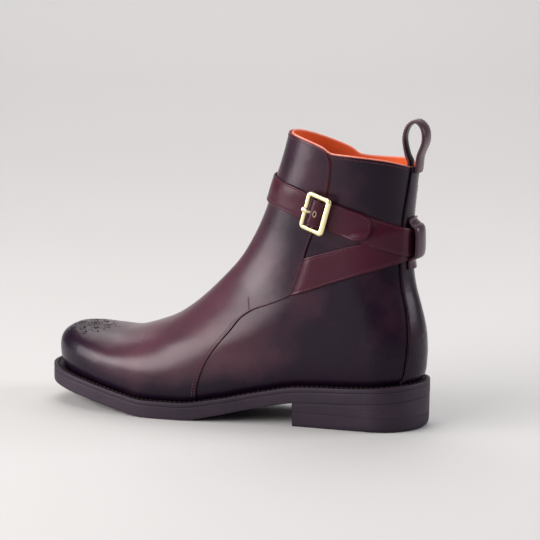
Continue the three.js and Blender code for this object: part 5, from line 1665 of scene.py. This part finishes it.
def heel_edge(turn, offset):
    """The heel's outline. Offsets past a half fade towards the breast, so that the bottom edge is
    rounder at the back."""
    fade = 1 - 0.75 * smoothstep(0.35 * BREAST_TURN, 0.95 * BREAST_TURN, np.abs(turn))
    point = sole_edge(turn, np.where(offset < -0.5, -0.5 + (offset + 0.5) * fade, offset + 0 * fade))
    point[np.abs(turn) > BREAST_TURN - 0.001, 0] = HEEL_LENGTH
    return point


def even_turns(count, offset):
    """Turns round the whole outline at even lengths along it."""
    fine = np.linspace(0, 2 * math.pi, 4001)
    lengths = walk(sole_edge(fine, np.full(4001, offset)))
    return np.interp(np.linspace(0, lengths[-1], count + 1)[:-1], lengths, fine), lengths[-1]


def welt_piece():
    """The welt: a strip round the outline, with a rounded edge, a channel for its stitches and
    low ribs across its rim, which follow a cosine of the length along the edge."""
    count = 1800
    turn, length = even_turns(count, 0.0)
    s = np.arange(count) * length / count
    rib = RIB_DEPTH * np.cos(2 * math.pi * s / RIB_PITCH)
    profile = [(-16, 0), (-6.4, 0), (-4.6, 0.02), (-3.9, 0.12), (-3.3, 0.34), (-2.7, 0.12), (-2.2, 0), (-1.1, 0),
               (-0.45, 0.1), (-0.1, 0.45), (0, 1.1), (0, 2.6), (-0.03, 3.2), (-0.14, 3.36), (-0.5, 3.44), (-16, 3.44)]
    ribbed = np.array([0, 0, 0, 0, 0, 0, 0.6, 1, 0.8, 0.3, 0, 0, 0, 0, 0, 0])
    columns = []
    for (offset, drop), share in zip(profile, ribbed):
        point = sole_edge(turn, np.full(count, float(offset)))
        z = welt_top(point[:, 0]) - drop - share * (rib + RIB_DEPTH)
        columns.append(np.concatenate([point, z[:, None]], axis=1))
    loops = np.stack(columns, axis=1)
    faces = grid_faces(count, len(profile), close_rows=True, close_columns=True)
    # The welt's top from under the upper out to 2.7 mm from its edge is painted black: painted shade in the crease
    # between upper and welt
    crease_shade = np.array([offset <= -2.7 for offset, _ in profile])
    index = np.where(crease_shade[faces[:, 0] % len(profile)] & crease_shade[faces[:, 1] % len(profile)], 1, 0)
    made = mesh_object("welt_strip", loops.reshape(-1, 3), faces, [sole_edge_finish(), painted_shade_leather()], index=index)
    finish_piece(outward(sharp_edges(made, 50)), ("welt",))
    turn, _ = even_turns(900, -WELT_STITCH_INSET)
    turn = np.append(turn, 2 * math.pi)
    point = sole_edge(turn, np.full(901, -WELT_STITCH_INSET))
    line = np.concatenate([point, (welt_top(point[:, 0]) - 0.12)[:, None]], axis=1)
    normals = np.tile([0.0, 0.0, 1.0], (901, 1))
    # the welt's stitches are dark, partly as painted shade in the crease
    return stitches("welt_stitches", [(line, normals)], thread("welt_thread", 0.12),
                    sewing().welt_stitch * 1000, 1.15, 0.55)


def sole_pieces():
    """Outsole, heel lifts, heel top piece and insole, each with the profile of its own edge."""
    sole, rubber = sole_edge_finish(), rubber_finish()

    def under_welt(x):
        return welt_top(x) - WELT_THICKNESS - 0.06
    edge = [(-1.5, 0), (-0.3, 0.006), (-0.12, 0.02), (-0.02, 0.06), (0, 0.2), (0.05, 0.5), (0, 0.8), (-0.06, 0.94),
            (-0.16, 0.98), (-0.8, 1)]
    made = plate("outsole_rubber", sole_edge, under_welt, outsole_bottom, SOLE_TURNS, edge, 14, [rubber, sole], 1)
    finish_piece(made, ("outsole",))

    def lift_top(x):
        return outsole_bottom(x) - 0.05
    lines = [(-1.3, 0), (-0.2, 0.006), (-0.18, 0.02), (-0.2, 0.46), (-0.22, 0.488), (-0.27, 0.494), (-0.27, 0.498),
             (-0.22, 0.504), (-0.22, 0.53), (-0.34, 0.985), (-0.36, 0.996), (-1.3, 1)]
    made = plate("heel_stack", heel_edge, lift_top, lambda x: TOP_PIECE_THICKNESS + 0.04 + 0 * x, HEEL_TURNS,
                 lines, 10, [sole, sole], 1, capped=True)
    finish_piece(made, ("heel_lift",))
    edge = [(-1.3, 0), (-0.37, 0.004), (-0.36, 0.014), (-0.42, 0.3), (-0.55, 0.55), (-0.85, 0.7), (-1.4, 0.82),
            (-2.3, 0.92), (-3.4, 0.98), (-4.8, 1)]
    made = plate("heel_rubber", heel_edge, lambda x: TOP_PIECE_THICKNESS + 0 * x, lambda x: 0 * x, HEEL_TURNS,
                 edge, 10, [rubber, rubber], 1, capped=True)
    finish_piece(made, ("heel_top_piece",))

    def board(turn, offset):
        ahead = foot_point(turn + 0.02, 0 * turn) - foot_point(turn - 0.02, 0 * turn)
        ahead[:, 2] = 0
        ahead = unit(ahead)
        point = foot_point(turn, 0 * turn)[:, :2]
        inset = WALL + 0.12 - offset
        return point + np.stack([ahead[:, 1], -ahead[:, 0]], axis=1) * inset
    edge = [(-0.8, 0), (-0.2, 0.08), (0, 0.3), (0, 0.8), (-0.3, 1)]
    made = plate("insole_board", board, lambda x: welt_top(x) + SEAT_GAP + INSOLE_THICKNESS,
                 lambda x: welt_top(x) + 0.1, SOLE_TURNS, edge, 12, [lining_leather()])
    return finish_piece(made, ("insole",))


# Perforations of the toe
def toe_height(x, y):
    """Height of the toe over a plan point, by halving: the section is as wide as y there."""
    low = widest_line(x)
    high = ridge_height(x)
    for _ in range(28):
        middle = (low + high) / 2
        wide = upper_point(x, middle, np.ones_like(x, bool), back_reach(middle))
        half = np.abs(wide[..., 1] - middle_at(x, middle))
        side = np.abs(y - middle_at(x, middle))
        inside = half > side
        low = np.where(inside, middle, low)
        high = np.where(inside, high, middle)
    return (low + high) / 2


def medallion_dots():
    """Plan places of a generic medallion: large holes on the middle line, rings of small ones
    round them, and scrolls, each half a spiral turning out from the middle line. Sizes are
    the holes' radii."""
    dots = []

    def ring(along, across, radius, count, size, turned=0.0, squash=1.0):
        angle = np.arange(count) * 2 * math.pi / count + turned
        dots.extend((along + squash * radius * math.cos(a), across + radius * math.sin(a), size) for a in angle)

    def scroll(along, across, start, end, radius, count, size):
        for share in np.linspace(0, 1, count):
            a = lerp(start, end, share)
            r = radius * (1 - 0.55 * share)
            dots.append((along + r * math.cos(a), across + r * math.sin(a), size))
            dots.append((along + r * math.cos(a), -across - r * math.sin(a), size))
    dots.append((0, 0, 1.35))
    ring(0, 0, 2.9, 8, 0.55)
    ring(0, 0, 4.9, 13, 0.5)
    dots.append((10.5, 0, 1.1))
    ring(10.5, 0, 2.7, 8, 0.5)
    dots.append((-10.5, 0, 1.1))
    ring(-10.5, 0, 2.7, 8, 0.5)
    dots.append((16.5, 0, 0.75))
    dots.append((-16.5, 0, 0.75))
    dots.append((-20.0, 0, 0.55))
    scroll(4.4, 8.8, -2.4, 2.6, 4.2, 9, 0.5)
    scroll(-5.4, 8.6, 2.4, -2.6, 4.0, 9, 0.5)
    scroll(13.0, 6.6, -1.2, 2.2, 3.4, 6, 0.48)
    scroll(-13.6, 6.2, 1.2, -2.2, 3.2, 6, 0.48)
    scroll(0.0, 14.2, -1.9, 1.9, 3.0, 6, 0.46)
    dots.extend((a, s * b, c) for a, b, c in ((4.0, 8.4, 1.0), (-5.0, 8.2, 0.95), (0, 13.6, 0.8), (-9, 12.4, 0.55),
                                              (8.5, 12.6, 0.55)) for s in (1, -1))
    return np.array(dots)


def medallion_piece():
    """Each perforation is a disc that dips in its middle, with a low soft rim: its height over the
    leather is a function of the distance from its centre, and it is laid on the toe's slope. Its
    middle is painted black as the shade inside the hole."""
    dots = medallion_dots()
    middle = 0.884 * SOLE_LENGTH
    lean = float(sole_middle(np.array([middle + 12.0]))[0] - sole_middle(np.array([middle - 12.0]))[0]) / 24
    x = middle + 1.06 * dots[:, 0]
    y = float(sole_middle(np.array([middle]))[0]) + 7.0 + 1.25 * dots[:, 1] + lean * dots[:, 0]
    step = 0.3
    z = toe_height(x, y)
    slope_x = (toe_height(x + step, y) - toe_height(x - step, y)) / (2 * step)
    slope_y = (toe_height(x, y + step) - toe_height(x, y - step)) / (2 * step)
    normal = unit(np.stack([-slope_x, -slope_y, np.ones_like(x)], axis=1))
    ahead = unit(np.stack([np.ones_like(x), np.zeros_like(x), slope_x], axis=1))
    across = np.cross(normal, ahead)
    centre = np.stack([x, y, z], axis=1)
    rings = np.array([[1.5, -0.05], [1.32, 0.06], [1.15, 0.08], [1.02, 0.05], [0.6, 0.035]])
    angle = np.arange(12) * math.pi / 6
    radius = dots[:, 2][:, None, None, None]
    plan = (ahead[:, None, None] * np.cos(angle)[:, None] + across[:, None, None] * np.sin(angle)[:, None])
    points = centre[:, None, None] + plan * radius * rings[:, 0][:, None, None] \
        + normal[:, None, None] * rings[:, 1][:, None, None]
    points = points.reshape(len(dots), 60, 3)
    one = grid_faces(5, 12, close_columns=True)
    faces = (np.arange(len(dots))[:, None, None] * 60 + one[None]).reshape(-1, 4).tolist()
    faces += [list(range(k * 60 + 48, k * 60 + 60)) for k in range(len(dots))]
    # the inner rings and the cap are painted black: painted shade inside each hole
    index = np.concatenate([np.tile(np.where(one[:, 0] < 24, 0, 1), len(dots)), np.ones(len(dots), int)])
    hole = named_material("perforation_dark", leather_material, (0.0008, 0.0005, 0.0008), (0.0004, 0.0003, 0.0004), 0.95, 0.0)
    hole.node_tree.nodes["Principled BSDF"].inputs["Specular IOR Level"].default_value = 0.0
    made = mesh_object("toe_perforations", points.reshape(-1, 3), faces, [upper_leather(), hole],
                       np.full(len(dots) * 60, 0.9), index, weld=False)

    def face_up(work):
        if sum(face.normal.z for face in work.faces) < 0:
            bmesh.ops.reverse_faces(work, faces=work.faces)
    edit_mesh(made.data, face_up)
    return finish_piece(made, ())


# Stage
def aim(made, at):
    """Turns an object's -Z at a point."""
    made.rotation_euler = (at - made.location).to_track_quat("-Z", "Y").to_euler()


def area_light(name, place_at, at, size, power, colour=(1, 1, 1), tall=None):
    data = bpy.data.lights.new(name, "AREA")
    data.shape = "RECTANGLE"
    data.size = size
    data.size_y = tall or size
    data.energy = power
    data.color = colour
    made = bpy.data.objects.new(name, data)
    bpy.context.scene.collection.objects.link(made)
    made.location = place_at
    aim(made, Vector(at))
    return made


def view_axes():
    """The camera's forward, right and up directions from its turn and height."""
    set_ = bpy.context.scene.boot_stage
    turn, height = set_.view_turn - math.pi, set_.view_height
    ahead = np.array([math.sin(turn) * math.cos(height), -math.cos(turn) * math.cos(height), -math.sin(height)])
    right = np.array([-math.cos(turn), -math.sin(turn), 0.0])
    return ahead, right, np.cross(right, ahead)


def stage_pieces():
    """Floor with a rising backdrop, soft lights, a pale world, and the camera."""
    set_ = bpy.context.scene.boot_stage
    ahead, right, up = view_axes()
    flat = np.array([ahead[0], ahead[1], 0.0])
    flat = flat / np.linalg.norm(flat)
    run = np.concatenate([np.linspace(-6, 2.4, 12), 2.4 + 1.4 * np.sin(np.linspace(0, math.pi / 2, 24))[1:],
                          np.full(6, 3.8)])
    rise = np.concatenate([np.zeros(12), 1.4 * (1 - np.cos(np.linspace(0, math.pi / 2, 24)))[1:],
                           1.4 + np.linspace(0.3, 5, 6)])
    wide = np.linspace(-7, 7, 8)
    points = flat * run[:, None, None] + right * wide[None, :, None] + np.array([0, 0, 1.0]) * rise[:, None, None]
    mesh = bpy.data.meshes.new("floor")
    mesh.from_pydata(points.reshape(-1, 3).tolist(), [], grid_faces(len(run), 8).tolist())
    mesh.polygons.foreach_set("use_smooth", np.ones(len(mesh.polygons), bool))
    material = bpy.data.materials.new("pale_floor")
    material.use_nodes = True
    tree = material.node_tree
    shader = tree.nodes["Principled BSDF"]
    where = tree.nodes.new("ShaderNodeTexCoord").outputs["Object"]
    cloud = linked(tree, "ShaderNodeTexNoise", {"Vector": where, "Scale": 1.5}).outputs["Fac"]
    dim = [part * 0.985 for part in set_.floor_colour]
    tree.links.new(mixed(tree, cloud, rgba(set_.floor_colour), rgba(dim)), shader.inputs["Base Color"])
    shader.inputs["Roughness"].default_value = 0.75
    mesh.materials.append(material)
    floor = bpy.data.objects.new("floor", mesh)
    bpy.context.scene.collection.objects.link(floor)

    middle = (0, 0, 0.09)
    area_light("key", (0.78, 1.24, 0.78), middle, 1.5, set_.key_power * 1.22, (1, 0.985, 0.965), 0.8)
    area_light("top", (0.2, -0.15, 1.7), middle, 1.3, set_.key_power * 0.5, (1, 0.98, 0.96))
    area_light("toe_side", (1.28, 0.66, 0.4), middle, 0.7, set_.key_power * 0.6, (1, 0.97, 0.97), 0.8)
    area_light("heel_side", (-1.35, -0.5, 0.7), middle, 0.9, set_.key_power * 0.75, (0.97, 0.96, 1))
    back = flat * 2.6 + np.array([0, 0, 2.6])
    area_light("backdrop_light", tuple(back), tuple(flat * 3.4), 3.2, set_.key_power * 4.1, (1, 0.99, 0.985))
    world = bpy.data.worlds.new("studio")
    bpy.context.scene.world = world
    world.use_nodes = True
    world.node_tree.nodes["Background"].inputs["Color"].default_value = (0.9, 0.84, 0.98, 1)
    world.node_tree.nodes["Background"].inputs["Strength"].default_value = 0.16
    bpy.context.scene.view_settings.view_transform = "Standard"

    target = place(np.array([150.0, 0.0, 90.0]))
    data = bpy.data.cameras.new("camera")
    data.sensor_width = 36
    data.lens = 36 * 2800 / 540
    data.shift_x = (270 - 238.57) / 540
    data.shift_y = (292.95 - 270) / 540
    data.clip_end = 50
    camera = bpy.data.objects.new("camera", data)
    bpy.context.scene.collection.objects.link(camera)
    eye = target - ahead * set_.distance
    turn = Matrix([(right[k], up[k], -ahead[k]) for k in range(3)]).to_4x4()
    camera.matrix_world = Matrix.Translation(eye.tolist()) @ turn
    bpy.context.scene.camera = camera


def check_made(*names):
    """Stops the script if a piece is missing."""
    missing = [name for name in names if name not in bpy.data.objects]
    if missing:
        raise RuntimeError("not made: " + ", ".join(missing))


class BOOT_OT_upper(bpy.types.Operator):
    """Makes the upper's leather with its lining and stitches"""
    bl_idname = "boot.upper"
    bl_label = "Upper"

    def execute(self, context):
        lines = upper_piece()
        lining_piece()
        edge_stitches(*lines)
        check_made("upper_leather", "lining", "upper_stitches")
        return {"FINISHED"}


class BOOT_OT_toe(bpy.types.Operator):
    """Makes the perforations of the toe"""
    bl_idname = "boot.toe"
    bl_label = "Toe perforations"

    def execute(self, context):
        medallion_piece()
        check_made("toe_perforations")
        return {"FINISHED"}


class BOOT_OT_back(bpy.types.Operator):
    """Makes the backstay, the pull loop and the strap keeper"""
    bl_idname = "boot.back"
    bl_label = "Back strips"

    def execute(self, context):
        backstay_piece()
        pull_loop_piece()
        keeper_piece()
        check_made("backstay_leather", "pull_loop_strap", "keeper_strap")
        return {"FINISHED"}


class BOOT_OT_straps(bpy.types.Operator):
    """Makes the two straps"""
    bl_idname = "boot.straps"
    bl_label = "Straps"

    def execute(self, context):
        strap_pieces()
        prong_hole()
        check_made("billet_leather", "buckle_strap_leather", "strap_stitches")
        return {"FINISHED"}


class BOOT_OT_buckle(bpy.types.Operator):
    """Makes the buckle with its bar and prong"""
    bl_idname = "boot.buckle"
    bl_label = "Buckle"

    def execute(self, context):
        buckle_pieces()
        check_made("buckle_frame_brass", "buckle_prong_brass")
        return {"FINISHED"}


class BOOT_OT_sole(bpy.types.Operator):
    """Makes the welt, the outsole, the heel and the insole"""
    bl_idname = "boot.sole"
    bl_label = "Sole and heel"

    def execute(self, context):
        welt_piece()
        sole_pieces()
        check_made("welt_strip", "outsole_rubber", "heel_stack", "heel_rubber", "insole_board")
        return {"FINISHED"}


class BOOT_OT_stage(bpy.types.Operator):
    """Makes the floor, the lights and the camera"""
    bl_idname = "boot.stage"
    bl_label = "Stage"

    def execute(self, context):
        stage_pieces()
        check_made("floor", "camera")
        return {"FINISHED"}


SETTINGS = (
    ("boot_leathers", LeatherSettings),
    ("boot_sewing", SewingSettings),
    ("boot_brass", BrassSettings),
    ("boot_stage", StageSettings),
)
OPERATORS = (
    BOOT_OT_stage, BOOT_OT_sole, BOOT_OT_upper, BOOT_OT_toe, BOOT_OT_back, BOOT_OT_straps,
    BOOT_OT_buckle,
)


class BOOT_PT_panel(bpy.types.Panel):
    """Lists the boot's settings and the operators that make its pieces"""
    bl_idname = "BOOT_PT_panel"
    bl_label = "Jodhpur boot"
    bl_space_type = "VIEW_3D"
    bl_region_type = "UI"
    bl_category = "Boot"

    def draw(self, context):
        for label, kind in SETTINGS:
            box = self.layout.box()
            for key in kind.__annotations__:
                box.prop(getattr(context.scene, label), key)
        for operator in OPERATORS:
            self.layout.operator(operator.bl_idname)


def register():
    for kind in [kind for _, kind in SETTINGS] + list(OPERATORS) + [BOOT_PT_panel]:
        bpy.utils.register_class(kind)
    for label, kind in SETTINGS:
        setattr(bpy.types.Scene, label, PointerProperty(type=kind))


def unregister():
    for label, _ in SETTINGS:
        delattr(bpy.types.Scene, label)
    for kind in [BOOT_PT_panel] + list(OPERATORS)[::-1] + [kind for _, kind in SETTINGS]:
        bpy.utils.unregister_class(kind)


def main():
    register()
    bpy.ops.boot.stage()
    bpy.ops.boot.sole()
    bpy.ops.boot.upper()
    bpy.ops.boot.toe()
    bpy.ops.boot.back()
    bpy.ops.boot.straps()
    bpy.ops.boot.buckle()


if __name__ == "__main__":
    main()
